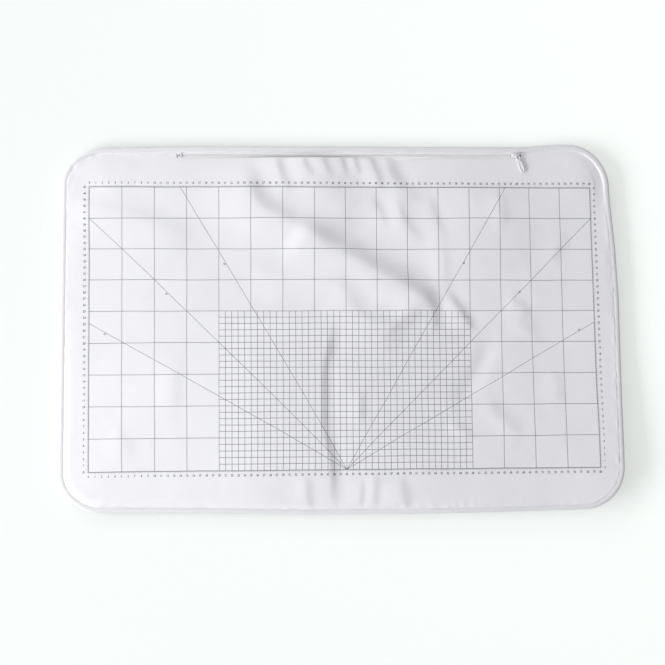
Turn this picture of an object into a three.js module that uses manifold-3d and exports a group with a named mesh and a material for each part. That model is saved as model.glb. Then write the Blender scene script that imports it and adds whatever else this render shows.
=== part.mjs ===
// A flat ironing pad with a zipped, washable cover. Lengths are in millimetres and +Z is up. The origin lies
// under the middle of the pad, on the surface it rests on. +X runs along the pad and +Y to its zipped edge.
import * as THREE from 'three';
import { mergeVertices } from 'three/addons/utils/BufferGeometryUtils.js';
import Module from 'manifold-3d';

const wasm = await Module();
wasm.setup();

// The pad as it lies on a table
const pad_length = 884;
const pad_depth = 584;
const pad_height = 14;
const corner_radius = 65;
const seat_gap = 0.3;
const cut_overrun = 5;

// Covers: cotton panels, both sewn to the piping at the seam
const cover_thickness = 0.6;
const seam_inset = 7.4;
const top_rim_height = 8.1;
const shoulder_length = 36;
const bottom_rim_height = 5.05;
const bottom_roll = 7.6;
const middle_inset = 270;
const least_radius = 8;

// Folds of the top panel
const long_fold_height = 2.4;
const long_fold_width = 34;
const crease_height = 1.4;
const crease_width = 20;

// Piping: a cord wrapped in a bias strip with two sewing tails
const piping_radius = 3.5;
const piping_height = 6.5;
const strip_thickness = 0.5;
const tail_gap = 0.3;
const tail_end_inset = 13;

// Filling
const foam_inset = 16;
const foam_thickness = 8.9;
const foam_round = 18;
const wadding_inset = 50;

// Zip: its line, the two tapes and the two rows
const zip_edge_distance = 14.5;
const zip_height = 8.4;
const zip_left = -252;
const slider_place = 284;
const slot_near_half = 4.7;
const slot_margin = 8;
const slot_end_room = 3;
const tape_thickness = 0.5;
const tape_edge = 2.3;
const near_tape_width = 8;
const far_tape_reach = 4.5;
const row_heel = 2;
const row_root = 1.15;
const row_head = 0.85;
const row_thickness = 2.2;
const tooth_pitch = 4;
const tooth_root_width = 1.7;
const tooth_head_width = 1.4;

// Zip slider: two shield-shaped plates joined by a wedge, with flanges, tape slots and a bridge
const slider_half_length = 6.2;
const slider_front_half = 4.2;
const slider_rear_half = 3.1;
const slider_body_height = 5.2;
const slider_edge = 0.35;
const slider_corner = 1.6;
const channel_height = 3;
const channel_rear_half = 2.35;
const channel_front_half = 3.2;
const tape_slot_height = 1;
const tape_slot_start = 1.9;
const wedge_point = 0.6;
const wedge_widest = 3.6;
const wedge_half = 1.3;
const wedge_front_half = 0.9;
const bridge_width = 1.8;
const bridge_rise = 3.2;
const bridge_bar = 1.2;
const bridge_leg = 1.4;
const bridge_front = 4.3;
const bridge_rear = -4;
const bridge_corner = 1;

// Link and pull tab
const link_wire = 1.2;
const link_inner_half = 2.2;
const link_reach = 8.1;
const link_edge = 0.3;
const link_corner = 0.6;
const link_turn = THREE.MathUtils.degToRad(17);
const barrel_radius = 1.5;
const barrel_bore = 0.95;
const barrel_length = 3.7;
const tab_length = 21.5;
const tab_thickness = 1.4;
const tab_neck_half = 1.7;
const tab_half = 3.8;
const tab_waist_half = 3.3;
const tab_edge = 0.25;
const tab_hole_radius = 1.6;
const tab_hole_end = 4.2;
const grip_inset = 1.1;
const grip_depth = 0.3;
const tab_rise = THREE.MathUtils.degToRad(3);

// Stops, clamped on the edges of the tapes
const top_stop_length = 2.4;
const top_stop_outer = 3.6;
const top_stop_inner = 1.75;
const top_stop_height = 2;
const bottom_stop_length = 3.2;
const bottom_stop_half = 3.4;
const bottom_stop_height = 2.3;
const clamp_slot_height = 1.1;
const clamp_slot_start = 2;
const stop_gap = 0.4;

// Places worked out from the sizes above
const half_length = pad_length / 2;
const half_depth = pad_depth / 2;
const quarter_turn = Math.PI / 2;
const zip_line = half_depth - zip_edge_distance;
const slider_front = slider_place + slider_half_length;
const slot_left = zip_left - slot_margin;
const slot_right = slider_front + stop_gap + top_stop_length + slot_end_room;
const slot_near = zip_line - slot_near_half;
const seam_line = half_depth - seam_inset;
const foam_top = cover_thickness + seat_gap + foam_thickness;
const row_end = slider_place + wedge_point - stop_gap;
const slider_top = zip_height + slider_body_height / 2;
const bridge_top = slider_top + bridge_rise;
const link_height = bridge_top - bridge_bar - seat_gap - link_wire / 2;
const leg_place = slider_place + bridge_front - bridge_leg / 2;

// How finely curves are cut
const corner_steps = 8;
const long_side_steps = 9;
const short_side_steps = 6;
const piping_steps = 8;
const barrel_sides = 14;
const curve_steps = 4;

// Ring places of the panels, from the seam to the middle of the pad
const top_ring_shares = [0, 0.012, 0.03, 0.06, 0.1, 0.16, 0.24, 0.33, 0.44, 0.56, 0.7, 0.84, 1];
const rim_ring_shares = [0, 0.2, 0.55];
const wadding_ring_shares = [0, 0.09, 0.25, 0.5, 1];

// Edge shapes, as shares of their width and of their height
const bottom_edge_shares = [[0, 1], [0.16, 0.5], [0.46, 0.16], [1, 0]];
const foam_edge_shares = [[0, 0], [0.06, 0.26], [0.22, 0.5], [0.55, 0.72], [1, 1]];

// Section of the far tape from its edge, over the fold at the seam and down inside the cover,
// as shares of its reach and of the zip's height
const far_tape_shares = [
  [-1, 0], [0, 0], [0.1, -0.035], [0.04, -0.1], [-0.2, -0.21], [-0.3, -0.38], [-0.64, -0.59],
];

// Fold lines of the top panel, as shares of the pad's length and depth
const long_fold_shares = [
  [-0.127, 0.318], [-0.057, 0.267], [0, 0.209], [0.062, 0.159], [0.117, 0.11], [0.154, 0.055], [0.161, 0.014],
];
const crease_shares = [[-0.025, -0.003], [-0.033, -0.072], [-0.041, -0.163], [-0.038, -0.313], [-0.031, -0.394]];

// Materials
function finish(color, roughness, metalness) {
  return new THREE.MeshStandardMaterial({ color, roughness, metalness });
}

const printed_cotton = finish(0xeeeef2, 0.9, 0);
const plain_cotton = finish(0xe8e8ec, 0.92, 0);
const bias_cotton = finish(0xf2f2f4, 0.88, 0);
const cord_cotton = finish(0xdedcd4, 0.95, 0);
const white_foam = finish(0xe9e6dc, 0.97, 0);
const white_wadding = finish(0xf4f3ef, 1, 0);
const zip_twill = finish(0xededf0, 0.85, 0);
const zip_nylon = finish(0xf0f0f0, 0.45, 0);
const white_enamel = finish(0xe6e6e8, 0.35, 0.2);
const stop_metal = finish(0xc9cacc, 0.35, 0.9);

// Solids and meshes

function to_solid(geometry) {
  const bare = geometry.clone();
  bare.deleteAttribute('normal');
  bare.deleteAttribute('uv');
  const merged = mergeVertices(bare);
  const vertProperties = new Float32Array(merged.attributes.position.array);
  const triVerts = new Uint32Array(merged.index.array);
  return new wasm.Manifold(new wasm.Mesh({ numProp: 3, vertProperties, triVerts }));
}

function to_geometry(solid) {
  const mesh = solid.getMesh();
  const geometry = new THREE.BufferGeometry();
  geometry.setAttribute('position', new THREE.BufferAttribute(new Float32Array(mesh.vertProperties), 3));
  geometry.setIndex(new THREE.BufferAttribute(new Uint32Array(mesh.triVerts), 1));
  geometry.computeVertexNormals();
  return geometry;
}

function named_mesh(name, geometry, material) {
  const mesh = new THREE.Mesh(geometry, material);
  mesh.name = name;
  return mesh;
}

function block(x_low, x_high, y_low, y_high, z_low, z_high) {
  const geometry = new THREE.BoxGeometry(x_high - x_low, y_high - y_low, z_high - z_low);
  return geometry.translate((x_low + x_high) / 2, (y_low + y_high) / 2, (z_low + z_high) / 2);
}

function flat_plate(shape, z_low, thickness, edge = 0) {
  const geometry = new THREE.ExtrudeGeometry(shape, {
    depth: thickness - 2 * edge,
    curveSegments: curve_steps,
    bevelEnabled: edge > 0,
    bevelThickness: edge,
    bevelSize: edge,
    bevelOffset: -edge,
    bevelSegments: 1,
  });
  return geometry.translate(0, 0, z_low + edge);
}

// A section drawn across the pad, (y, z), pushed along X
function along_x(outline, x_low, x_high) {
  const shape = new THREE.Shape(outline);
  const geometry = new THREE.ExtrudeGeometry(shape, { depth: x_high - x_low, bevelEnabled: false });
  const across = new THREE.Vector3(0, 1, 0);
  const up = new THREE.Vector3(0, 0, 1);
  const along = new THREE.Vector3(1, 0, 0);
  geometry.applyMatrix4(new THREE.Matrix4().makeBasis(across, up, along));
  return geometry.translate(x_low, 0, 0);
}

// The outline of a bent strip: its middle line given a thickness
function strip_outline(line, thickness) {
  const right = [];
  const left = [];
  line.forEach((point, i) => {
    const before = line[Math.max(i - 1, 0)];
    const after = line[Math.min(i + 1, line.length - 1)];
    const way_out = i < line.length - 1 ? after.clone().sub(point) : point.clone().sub(before);
    const way_in = i > 0 ? point.clone().sub(before) : way_out;
    const way = way_in.clone().normalize().add(way_out.clone().normalize()).normalize();
    const mitre = thickness / 2 / way.dot(way_in.clone().normalize());
    right.push(new THREE.Vector2(point.x + way.y * mitre, point.y - way.x * mitre));
    left.push(new THREE.Vector2(point.x - way.y * mitre, point.y + way.x * mitre));
  });
  return right.concat(left.reverse());
}

// One loop round the pad at a distance in from its edge, anticlockwise from above
function edge_loop(inset, long_steps, short_steps) {
  const radius = Math.max(corner_radius - inset, least_radius);
  const reach_x = half_length - inset - radius;
  const reach_y = half_depth - inset - radius;
  const centres = [[reach_x, reach_y], [-reach_x, reach_y], [-reach_x, -reach_y], [reach_x, -reach_y]];
  const loop = [];
  centres.forEach(([centre_x, centre_y], corner) => {
    for (let step = 0; step <= corner_steps; step++) {
      const turn = (corner + step / corner_steps) * quarter_turn;
      const x = centre_x + radius * Math.cos(turn);
      const y = centre_y + radius * Math.sin(turn);
      loop.push(new THREE.Vector2(x, y));
    }
    const turn = (corner + 1) * quarter_turn;
    const [next_x, next_y] = centres[(corner + 1) % centres.length];
    const from = loop[loop.length - 1];
    const to = new THREE.Vector2(next_x + radius * Math.cos(turn), next_y + radius * Math.sin(turn));
    const steps = corner % 2 === 0 ? long_steps : short_steps;
    for (let step = 1; step < steps; step++) {
      loop.push(from.clone().lerp(to, step / steps));
    }
  });
  return loop;
}

// A ring of points at one distance in from the edge; the height is a number or a function of x, y and inset
function ring(inset, height, fine) {
  const loop = edge_loop(inset, fine ? long_side_steps : 1, fine ? short_side_steps : 1);
  return loop.map(({ x, y }) => {
    const z = typeof height === 'function' ? height(x, y, inset) : height;
    return new THREE.Vector3(x, y, z);
  });
}

// A closed skin through rings of equal count. Its ends close on a point each, or its last ring on its first.
function ring_skin(rings, first_point, last_point) {
  const positions = [];
  const count = rings[0].length;
  const face = (a, b, c) => positions.push(...a.toArray(), ...b.toArray(), ...c.toArray());
  const joined = first_point ? rings.length - 1 : rings.length;
  for (let i = 0; i < joined; i++) {
    const here = rings[i];
    const next = rings[(i + 1) % rings.length];
    for (let k = 0; k < count; k++) {
      const after = (k + 1) % count;
      face(here[k], next[k], next[after]);
      face(here[k], next[after], here[after]);
    }
  }
  if (first_point) {
    const last = rings[rings.length - 1];
    for (let k = 0; k < count; k++) {
      const after = (k + 1) % count;
      face(first_point, rings[0][k], rings[0][after]);
      face(last_point, last[after], last[k]);
    }
  }
  const geometry = new THREE.BufferGeometry();
  geometry.setAttribute('position', new THREE.Float32BufferAttribute(positions, 3));
  return mergeVertices(geometry);
}

function between(low, high, share) {
  return low + (high - low) * share;
}

const wadding_insets = wadding_ring_shares.map((share) => between(wadding_inset, middle_inset, share));

// Top panel: crown, rolled shoulders and main folds

function distance_to_line(x, y, line_shares) {
  let nearest = Infinity;
  for (let i = 1; i < line_shares.length; i++) {
    const [ax, ay] = line_shares[i - 1];
    const [bx, by] = line_shares[i];
    const start = new THREE.Vector2(ax * pad_length, ay * pad_depth);
    const way = new THREE.Vector2(bx * pad_length, by * pad_depth).sub(start);
    const share = new THREE.Vector2(x, y).sub(start).dot(way) / way.lengthSq();
    const foot = start.addScaledVector(way, THREE.MathUtils.clamp(share, 0, 1));
    nearest = Math.min(nearest, foot.distanceTo(new THREE.Vector2(x, y)));
  }
  return nearest;
}

function fold_lift(x, y) {
  const long_fold = distance_to_line(x, y, long_fold_shares) / long_fold_width;
  const crease = distance_to_line(x, y, crease_shares) / crease_width;
  return long_fold_height * Math.exp(-(long_fold ** 2)) + crease_height * Math.exp(-(crease ** 2));
}

function crown_height(inset) {
  const rise = pad_height - top_rim_height;
  return top_rim_height + rise * (1 - Math.exp(-(inset - seam_inset) / shoulder_length));
}

function top_surface(x, y, inset) {
  return crown_height(inset) + fold_lift(x, y);
}

function lining_surface(x, y, inset) {
  return crown_height(inset) - cover_thickness;
}

function make_top_cover() {
  const crown = top_ring_shares.map((share) => between(seam_inset, middle_inset, share));
  const outer = crown.map((inset) => ring(inset, top_surface, true));
  const rim = rim_ring_shares.map((share) => between(seam_inset, wadding_inset, share));
  const inner = rim.concat(wadding_insets).map((inset) => ring(inset, lining_surface, true));
  const rings = outer.reverse().concat(inner);
  const top_point = new THREE.Vector3(0, 0, top_surface(0, 0, middle_inset));
  const low_point = new THREE.Vector3(0, 0, lining_surface(0, 0, middle_inset));
  const shell = to_solid(ring_skin(rings, top_point, low_point));
  const slot = block(slot_left, slot_right, slot_near, half_depth, -cut_overrun, pad_height + cut_overrun);
  return named_mesh('top_cover', to_geometry(shell.subtract(to_solid(slot))), printed_cotton);
}

// Bottom panel: flat where it rests, rolled up to the seam round its edge

function bottom_ring([width_share, height_share], lift) {
  return ring(seam_inset + bottom_roll * width_share, bottom_rim_height * height_share + lift, false);
}

function make_bottom_cover() {
  const upper = bottom_edge_shares.map((pair) => bottom_ring(pair, cover_thickness)).reverse();
  const under = bottom_edge_shares.map((pair) => bottom_ring(pair, 0));
  const top_point = new THREE.Vector3(0, 0, cover_thickness);
  const low_point = new THREE.Vector3(0, 0, 0);
  return named_mesh('bottom_cover', ring_skin(upper.concat(under), top_point, low_point), plain_cotton);
}

// Piping: the section is drawn as (distance in from the edge, height) and run round the pad

function run_round(outline) {
  return ring_skin(outline.map(({ x, y }) => ring(x, y, false)));
}

function make_piping_cord() {
  const radius = piping_radius - strip_thickness - seat_gap;
  const outline = [];
  for (let step = 0; step < piping_steps; step++) {
    const turn = (step / piping_steps) * 2 * Math.PI;
    const inset = piping_radius + radius * Math.cos(turn);
    outline.push(new THREE.Vector2(inset, piping_height + radius * Math.sin(turn)));
  }
  return named_mesh('piping_cord', run_round(outline), cord_cotton);
}

function make_piping_strip() {
  const radius = piping_radius - strip_thickness / 2;
  const tail_offset = (tail_gap + strip_thickness) / 2;
  const opening = Math.asin(tail_offset / radius);
  const line = [new THREE.Vector2(tail_end_inset, piping_height - tail_offset)];
  for (let step = 0; step <= piping_steps; step++) {
    const turn = -opening - (step / piping_steps) * (2 * Math.PI - 2 * opening);
    const inset = piping_radius + radius * Math.cos(turn);
    line.push(new THREE.Vector2(inset, piping_height + radius * Math.sin(turn)));
  }
  line.push(new THREE.Vector2(tail_end_inset, piping_height + tail_offset));
  const strip = to_solid(run_round(strip_outline(line, strip_thickness)));
  const trimmed = block(slot_left, slot_right, slot_near, seam_line + seat_gap, 0, pad_height);
  return named_mesh('piping_strip', to_geometry(strip.subtract(to_solid(trimmed))), bias_cotton);
}

// Filling: a foam slab with rounded edges, and wadding that fills up to the top panel

function make_foam_core() {
  const low = cover_thickness + seat_gap;
  const edge = foam_edge_shares.map(([width_share, height_share]) =>
    ring(foam_inset + foam_round * width_share, low + foam_thickness * height_share, false));
  const top_point = new THREE.Vector3(0, 0, foam_top);
  const low_point = new THREE.Vector3(0, 0, low);
  return named_mesh('foam_core', ring_skin(edge.reverse(), top_point, low_point), white_foam);
}

function make_wadding() {
  const low = foam_top + seat_gap;
  const wadding_top = (inset) => crown_height(inset) - cover_thickness - seat_gap;
  const upper = wadding_insets.map((inset) => ring(inset, wadding_top(inset), false));
  const rings = upper.reverse().concat([ring(wadding_inset, low, false)]);
  const top_point = new THREE.Vector3(0, 0, wadding_top(middle_inset));
  const low_point = new THREE.Vector3(0, 0, low);
  return named_mesh('wadding', ring_skin(rings, top_point, low_point), white_wadding);
}

// Zip tapes. The near one lies under the lip of the top panel, the far one turns down inside the piping.

function make_zip_tapes() {
  const left = slot_left + seat_gap;
  const right = slot_right - seat_gap;
  const near_edge = zip_line - tape_edge;
  const near_line = [
    new THREE.Vector2(near_edge - near_tape_width, zip_height),
    new THREE.Vector2(near_edge, zip_height),
  ];
  const fold = zip_line + tape_edge + far_tape_reach;
  const far_line = far_tape_shares.map(([reach_share, height_share]) =>
    new THREE.Vector2(fold + far_tape_reach * reach_share, zip_height * (1 + height_share)));
  return [
    named_mesh('zip_tape_near', along_x(strip_outline(near_line, tape_thickness), left, right), zip_twill),
    named_mesh('zip_tape_far', along_x(strip_outline(far_line, tape_thickness), left, right), zip_twill),
  ];
}

// Zip rows: combs whose teeth fill each other's gaps. side is 1 for the far row and -1 for the near one.

function make_zip_row(name, side) {
  const outline = [];
  const add = (x, y) => outline.push(new THREE.Vector2(x, zip_line + side * y));
  add(zip_left, row_heel);
  add(row_end, row_heel);
  add(row_end, row_root);
  const teeth = Math.floor((row_end - zip_left) / tooth_pitch);
  const first_tooth = zip_left + (side > 0 ? tooth_pitch : 3 * tooth_pitch) / 4;
  for (let tooth = teeth - 1; tooth >= 0; tooth--) {
    const middle = first_tooth + tooth * tooth_pitch;
    add(middle + tooth_root_width / 2, row_root);
    add(middle + tooth_head_width / 2, -row_head);
    add(middle - tooth_head_width / 2, -row_head);
    add(middle - tooth_root_width / 2, row_root);
  }
  add(zip_left, row_root);
  const plate = flat_plate(new THREE.Shape(outline), zip_height - row_thickness / 2, row_thickness);
  return named_mesh(name, plate, zip_nylon);
}

// Zip slider, drawn about its own middle with its front to +X

function slider_outline() {
  const back = -slider_half_length;
  const front = slider_half_length;
  const shape = new THREE.Shape();
  shape.moveTo(back, -slider_rear_half + slider_corner);
  shape.quadraticCurveTo(back, -slider_rear_half, back + slider_corner, -slider_rear_half);
  const nose = front - 2 * slider_corner;
  shape.bezierCurveTo(0, -slider_rear_half, 0, -slider_front_half, nose, -slider_front_half);
  shape.quadraticCurveTo(front, -slider_front_half, front, -slider_front_half + 2 * slider_corner);
  shape.lineTo(front, slider_front_half - 2 * slider_corner);
  shape.quadraticCurveTo(front, slider_front_half, nose, slider_front_half);
  shape.bezierCurveTo(0, slider_front_half, 0, slider_rear_half, back + slider_corner, slider_rear_half);
  shape.quadraticCurveTo(back, slider_rear_half, back, slider_rear_half - slider_corner);
  return shape;
}

// The channel forks round the wedge that parts and joins the two rows
function channel_outline() {
  const back = -slider_half_length - cut_overrun;
  const front = slider_half_length + cut_overrun;
  const side = [
    [back, channel_rear_half],
    [wedge_point - channel_rear_half, channel_rear_half],
    [wedge_widest, channel_front_half],
    [front, channel_front_half],
    [front, wedge_front_half],
    [wedge_widest, wedge_half],
  ];
  const shape = new THREE.Shape();
  side.forEach(([x, y], i) => (i === 0 ? shape.moveTo(x, y) : shape.lineTo(x, y)));
  shape.lineTo(wedge_point, 0);
  side.reverse().forEach(([x, y]) => shape.lineTo(x, -y));
  return shape;
}

function bridge_outline() {
  const top = slider_body_height / 2 + bridge_rise;
  const foot = slider_body_height / 2 - slider_edge;
  const underside = top - bridge_bar;
  const shape = new THREE.Shape();
  shape.moveTo(bridge_rear, foot);
  shape.lineTo(bridge_rear, top - bridge_corner);
  shape.quadraticCurveTo(bridge_rear, top, bridge_rear + bridge_corner, top);
  shape.lineTo(bridge_front - bridge_corner, top);
  shape.quadraticCurveTo(bridge_front, top, bridge_front, top - bridge_corner);
  shape.lineTo(bridge_front, foot);
  shape.lineTo(bridge_front - bridge_leg, foot);
  shape.lineTo(bridge_front - bridge_leg, underside);
  shape.lineTo(bridge_rear + bridge_leg, underside);
  shape.lineTo(bridge_rear + bridge_leg, foot);
  return shape;
}

function make_zip_slider() {
  const low = -slider_body_height / 2;
  const body = to_solid(flat_plate(slider_outline(), low, slider_body_height, slider_edge));
  const channel = to_solid(flat_plate(channel_outline(), -channel_height / 2, channel_height));
  const reach = slider_half_length + cut_overrun;
  const half_slot = tape_slot_height / 2;
  const wide = slider_front_half + cut_overrun;
  const near_slot = to_solid(block(-reach, reach, -wide, -tape_slot_start, -half_slot, half_slot));
  const far_slot = to_solid(block(-reach, reach, tape_slot_start, wide, -half_slot, half_slot));
  const arch = new THREE.ExtrudeGeometry(bridge_outline(), {
    depth: bridge_width, curveSegments: curve_steps, bevelEnabled: false,
  });
  arch.rotateX(quarter_turn);
  arch.translate(0, bridge_width / 2, 0);
  const hollow = body.subtract(channel).subtract(near_slot).subtract(far_slot);
  const slider = named_mesh('zip_slider', to_geometry(hollow.add(to_solid(arch))), white_enamel);
  slider.position.set(slider_place, zip_line, zip_height);
  return slider;
}

// Link: a flat loop, round where it rides on the bridge's leg, drawn about that leg and pointing to -Y

function link_shape() {
  const outer = link_inner_half + link_wire;
  const end = -link_reach - link_wire / 2;
  const shape = new THREE.Shape();
  shape.moveTo(outer, 0);
  shape.absarc(0, 0, outer, 0, Math.PI, false);
  shape.lineTo(-outer, end + 2 * link_corner);
  shape.quadraticCurveTo(-outer, end, -outer + 2 * link_corner, end);
  shape.lineTo(outer - 2 * link_corner, end);
  shape.quadraticCurveTo(outer, end, outer, end + 2 * link_corner);
  const eye = new THREE.Path();
  const inner_end = end + link_wire;
  eye.moveTo(link_inner_half, 0);
  eye.absarc(0, 0, link_inner_half, 0, Math.PI, false);
  eye.lineTo(-link_inner_half, inner_end);
  eye.lineTo(link_inner_half, inner_end);
  shape.holes.push(eye);
  return shape;
}

function make_zip_link() {
  const geometry = new THREE.ExtrudeGeometry(link_shape(), {
    depth: link_wire - 2 * link_edge,
    curveSegments: 2 * curve_steps,
    bevelThickness: link_edge,
    bevelSize: link_edge,
    bevelOffset: -link_edge,
    bevelSegments: 1,
  });
  geometry.translate(0, 0, -link_wire / 2 + link_edge);
  return named_mesh('zip_link', geometry, white_enamel);
}

// Pull tab: a barrel on the link's end bar and a waisted plate with a grip recess and a hole, pointing to -Y

function tab_outline(inset) {
  const end = -tab_length + inset;
  const half = tab_half - inset;
  const waist = tab_waist_half - inset;
  const neck = -2 * barrel_radius - inset;
  const shoulder = neck - tab_half;
  const low = end + half;
  const shape = new THREE.Shape();
  shape.moveTo(-half, shoulder);
  shape.quadraticCurveTo(-waist, (shoulder + low) / 2, -half, low);
  shape.absarc(0, low, half, Math.PI, 2 * Math.PI, false);
  shape.quadraticCurveTo(waist, (shoulder + low) / 2, half, shoulder);
  shape.quadraticCurveTo(half, neck, half / 2, neck);
  shape.lineTo(-half / 2, neck);
  shape.quadraticCurveTo(-half, neck, -half, shoulder);
  return shape;
}

function make_zip_pull() {
  const low = -tab_thickness / 2;
  const plate = to_solid(flat_plate(tab_outline(0), low, tab_thickness, tab_edge));
  const neck = block(-tab_neck_half, tab_neck_half, -2 * barrel_radius - tab_half / 2, 0, low, -low);
  const barrel = new THREE.CylinderGeometry(barrel_radius, barrel_radius, barrel_length, barrel_sides);
  const bore_length = barrel_length + cut_overrun;
  const bore = new THREE.CylinderGeometry(barrel_bore, barrel_bore, bore_length, barrel_sides);
  const hole = new THREE.CylinderGeometry(tab_hole_radius, tab_hole_radius, tab_thickness * 2, barrel_sides);
  hole.rotateX(quarter_turn);
  hole.translate(0, -tab_length + tab_hole_end, 0);
  const grip = flat_plate(tab_outline(grip_inset), -low - grip_depth, grip_depth * 2);
  const body = plate.add(to_solid(neck)).add(to_solid(barrel.rotateZ(quarter_turn)));
  const cut = body.subtract(to_solid(bore.rotateZ(quarter_turn))).subtract(to_solid(hole));
  const pull = named_mesh('zip_pull', to_geometry(cut.subtract(to_solid(grip))), white_enamel);
  pull.position.set(0, -link_reach, 0);
  pull.rotation.x = -tab_rise;
  return pull;
}

// Stops: clamps with a slot for the tape they sit on

function clamp_solid(x_low, x_high, y_low, y_high, height) {
  return to_solid(block(x_low, x_high, y_low, y_high, zip_height - height / 2, zip_height + height / 2));
}

function clamp_slot(x_low, x_high, side) {
  const start = zip_line + side * clamp_slot_start;
  const end = zip_line + side * (bottom_stop_half + cut_overrun);
  const y_low = Math.min(start, end);
  const y_high = Math.max(start, end);
  return clamp_solid(x_low - cut_overrun, x_high + cut_overrun, y_low, y_high, clamp_slot_height);
}

function make_top_stop(name, side) {
  const x_low = slider_front + stop_gap;
  const x_high = x_low + top_stop_length;
  const near = zip_line + side * top_stop_inner;
  const far = zip_line + side * top_stop_outer;
  const clamp = clamp_solid(x_low, x_high, Math.min(near, far), Math.max(near, far), top_stop_height);
  return named_mesh(name, to_geometry(clamp.subtract(clamp_slot(x_low, x_high, side))), stop_metal);
}

function make_bottom_stop() {
  const x_high = zip_left - stop_gap;
  const x_low = x_high - bottom_stop_length;
  const near = zip_line - bottom_stop_half;
  const far = zip_line + bottom_stop_half;
  const clamp = clamp_solid(x_low, x_high, near, far, bottom_stop_height);
  const slotted = clamp.subtract(clamp_slot(x_low, x_high, 1)).subtract(clamp_slot(x_low, x_high, -1));
  return named_mesh('bottom_stop', to_geometry(slotted), stop_metal);
}

// The pad
const pad = new THREE.Group();
pad.add(make_top_cover(), make_bottom_cover(), make_piping_strip(), make_piping_cord());
pad.add(make_foam_core(), make_wadding(), ...make_zip_tapes());
pad.add(make_zip_row('zip_coil_far', 1), make_zip_row('zip_coil_near', -1));
pad.add(make_top_stop('top_stop_far', 1), make_top_stop('top_stop_near', -1), make_bottom_stop());

// The slider, and the link and pull tab that hang on its bridge
const hanging = new THREE.Group();
hanging.position.set(leg_place, zip_line, link_height);
hanging.rotation.z = link_turn;
hanging.add(make_zip_link(), make_zip_pull());
pad.add(make_zip_slider(), hanging);

export default pad;
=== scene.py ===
# %% [markdown]
# # A flat ironing pad with a piped edge, a printed grid and a zip
#
# The pad is a foam slab and a layer of wadding in a washable cotton cover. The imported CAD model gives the
# exact frame: where each piece is and what it moves with. Here every soft piece is made again as cloth, foam
# or thread, and the metal pieces get softened edges. Lengths are in metres, written through `mm`, and +Z is
# up.

# %% The fixed frame
import math

import bmesh
import bpy
import numpy as np
from mathutils import Matrix, Vector, noise
from mathutils.bvhtree import BVHTree


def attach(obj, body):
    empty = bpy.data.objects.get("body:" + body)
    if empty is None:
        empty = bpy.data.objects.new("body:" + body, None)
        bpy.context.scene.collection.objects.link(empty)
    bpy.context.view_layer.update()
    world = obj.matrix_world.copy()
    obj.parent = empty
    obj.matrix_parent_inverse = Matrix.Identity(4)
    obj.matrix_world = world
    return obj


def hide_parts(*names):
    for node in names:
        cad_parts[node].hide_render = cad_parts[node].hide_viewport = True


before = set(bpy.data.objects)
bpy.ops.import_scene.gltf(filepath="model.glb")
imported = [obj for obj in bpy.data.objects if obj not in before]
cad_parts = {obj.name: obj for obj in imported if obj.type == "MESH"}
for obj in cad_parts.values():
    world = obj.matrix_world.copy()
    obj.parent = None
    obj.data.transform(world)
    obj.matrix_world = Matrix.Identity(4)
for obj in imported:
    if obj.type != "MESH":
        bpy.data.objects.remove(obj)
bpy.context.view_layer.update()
mm = 0.001

# %% [markdown]
# ## The camera
#
# The print is a ruler, so the camera could be solved from it: the corners of the five-centimetre squares tell
# where the lens was. It hangs a little over two metres up, slightly left of and below the middle, and looks
# almost straight down. A long lens keeps the grid nearly parallel. The picture is square, 665 by 665.

# %% Camera


def in_scene(name, data):
    """A new object, put into the scene."""
    made = bpy.data.objects.new(name, data)
    bpy.context.scene.collection.objects.link(made)
    return made


camera_data = bpy.data.cameras.new("camera")
camera = in_scene("camera", camera_data)
camera_data.sensor_width = 36
camera_data.lens = 75.51
camera_data.clip_end = 20
camera.location = (-0.1824, -0.26208, 2.1931)
camera.rotation_euler = [math.radians(angle) for angle in (6.66946, -4.23249, -0.92838)]
bpy.context.scene.camera = camera
print("camera", round(camera.location.z, 2), "m up, with a", round(camera_data.lens, 2), "mm lens")

# %% [markdown]
# ## Where things are on the pad
#
# The real pad is 884 by 584 mm with round corners. The sewn cover isn't a perfect rectangle, though: its
# sides wander by a few millimetres. `inset_of` says how far a point lies in from the ideal edge, and `wander`
# moves a point of cloth to where the real edge is. The zipped stretch of the far edge stays straight, because
# the slider has to run along it.

# %% The outline and how it wanders
half_length = 442 * mm
half_depth = 292 * mm
corner_radius = 65 * mm
seam_inset = 8 * mm
zip_line = half_depth - 14.5 * mm
zip_height = 8.4 * mm
slot_left, slot_right = -260 * mm, 296 * mm
slot_near = zip_line - 4.7 * mm


def smooth_step(value, low, high):
    share = np.clip((value - low) / (high - low), 0, 1)
    return share * share * (3 - 2 * share)


def inset_of(x, y):
    """Distance in from the ideal outline, a rectangle with round corners."""
    over_x = np.abs(x) - (half_length - corner_radius)
    over_y = np.abs(y) - (half_depth - corner_radius)
    outside = np.hypot(np.maximum(over_x, 0), np.maximum(over_y, 0))
    return corner_radius - outside - np.minimum(np.maximum(over_x, over_y), 0)


def curve_through(value, points):
    """A smooth curve through (place, amount) pairs in millimetres, level past its ends."""
    places, amounts = np.array(points, float).T * mm
    total = 0
    for shift in (-12, -6, 0, 6, 12):
        total = total + np.interp(value + shift * mm, places, amounts)
    return total / 5


right_edge = [(-290, -1.5), (-200, 0.7), (-120, 1.5), (-28, 3), (43, 3.6), (130, 0.6), (207, -5), (290, -6.5)]
left_edge = [(-290, 2.6), (-190, 2.3), (0, 1), (203, -0.6), (290, -1)]
near_edge = [(-440, -7.5), (-349, -6), (-226, -3.9), (-71, 1.1), (85, 3), (212, 2.8), (339, 1.1), (440, 0)]
far_edge = [(-440, -4), (-352, -3), (-275, -0.5), (-255, 0), (300, 0), (325, 2.2), (357, 4.2), (440, 2)]
side_reach, near_reach, far_reach = 190 * mm, 150 * mm, 60 * mm


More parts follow.
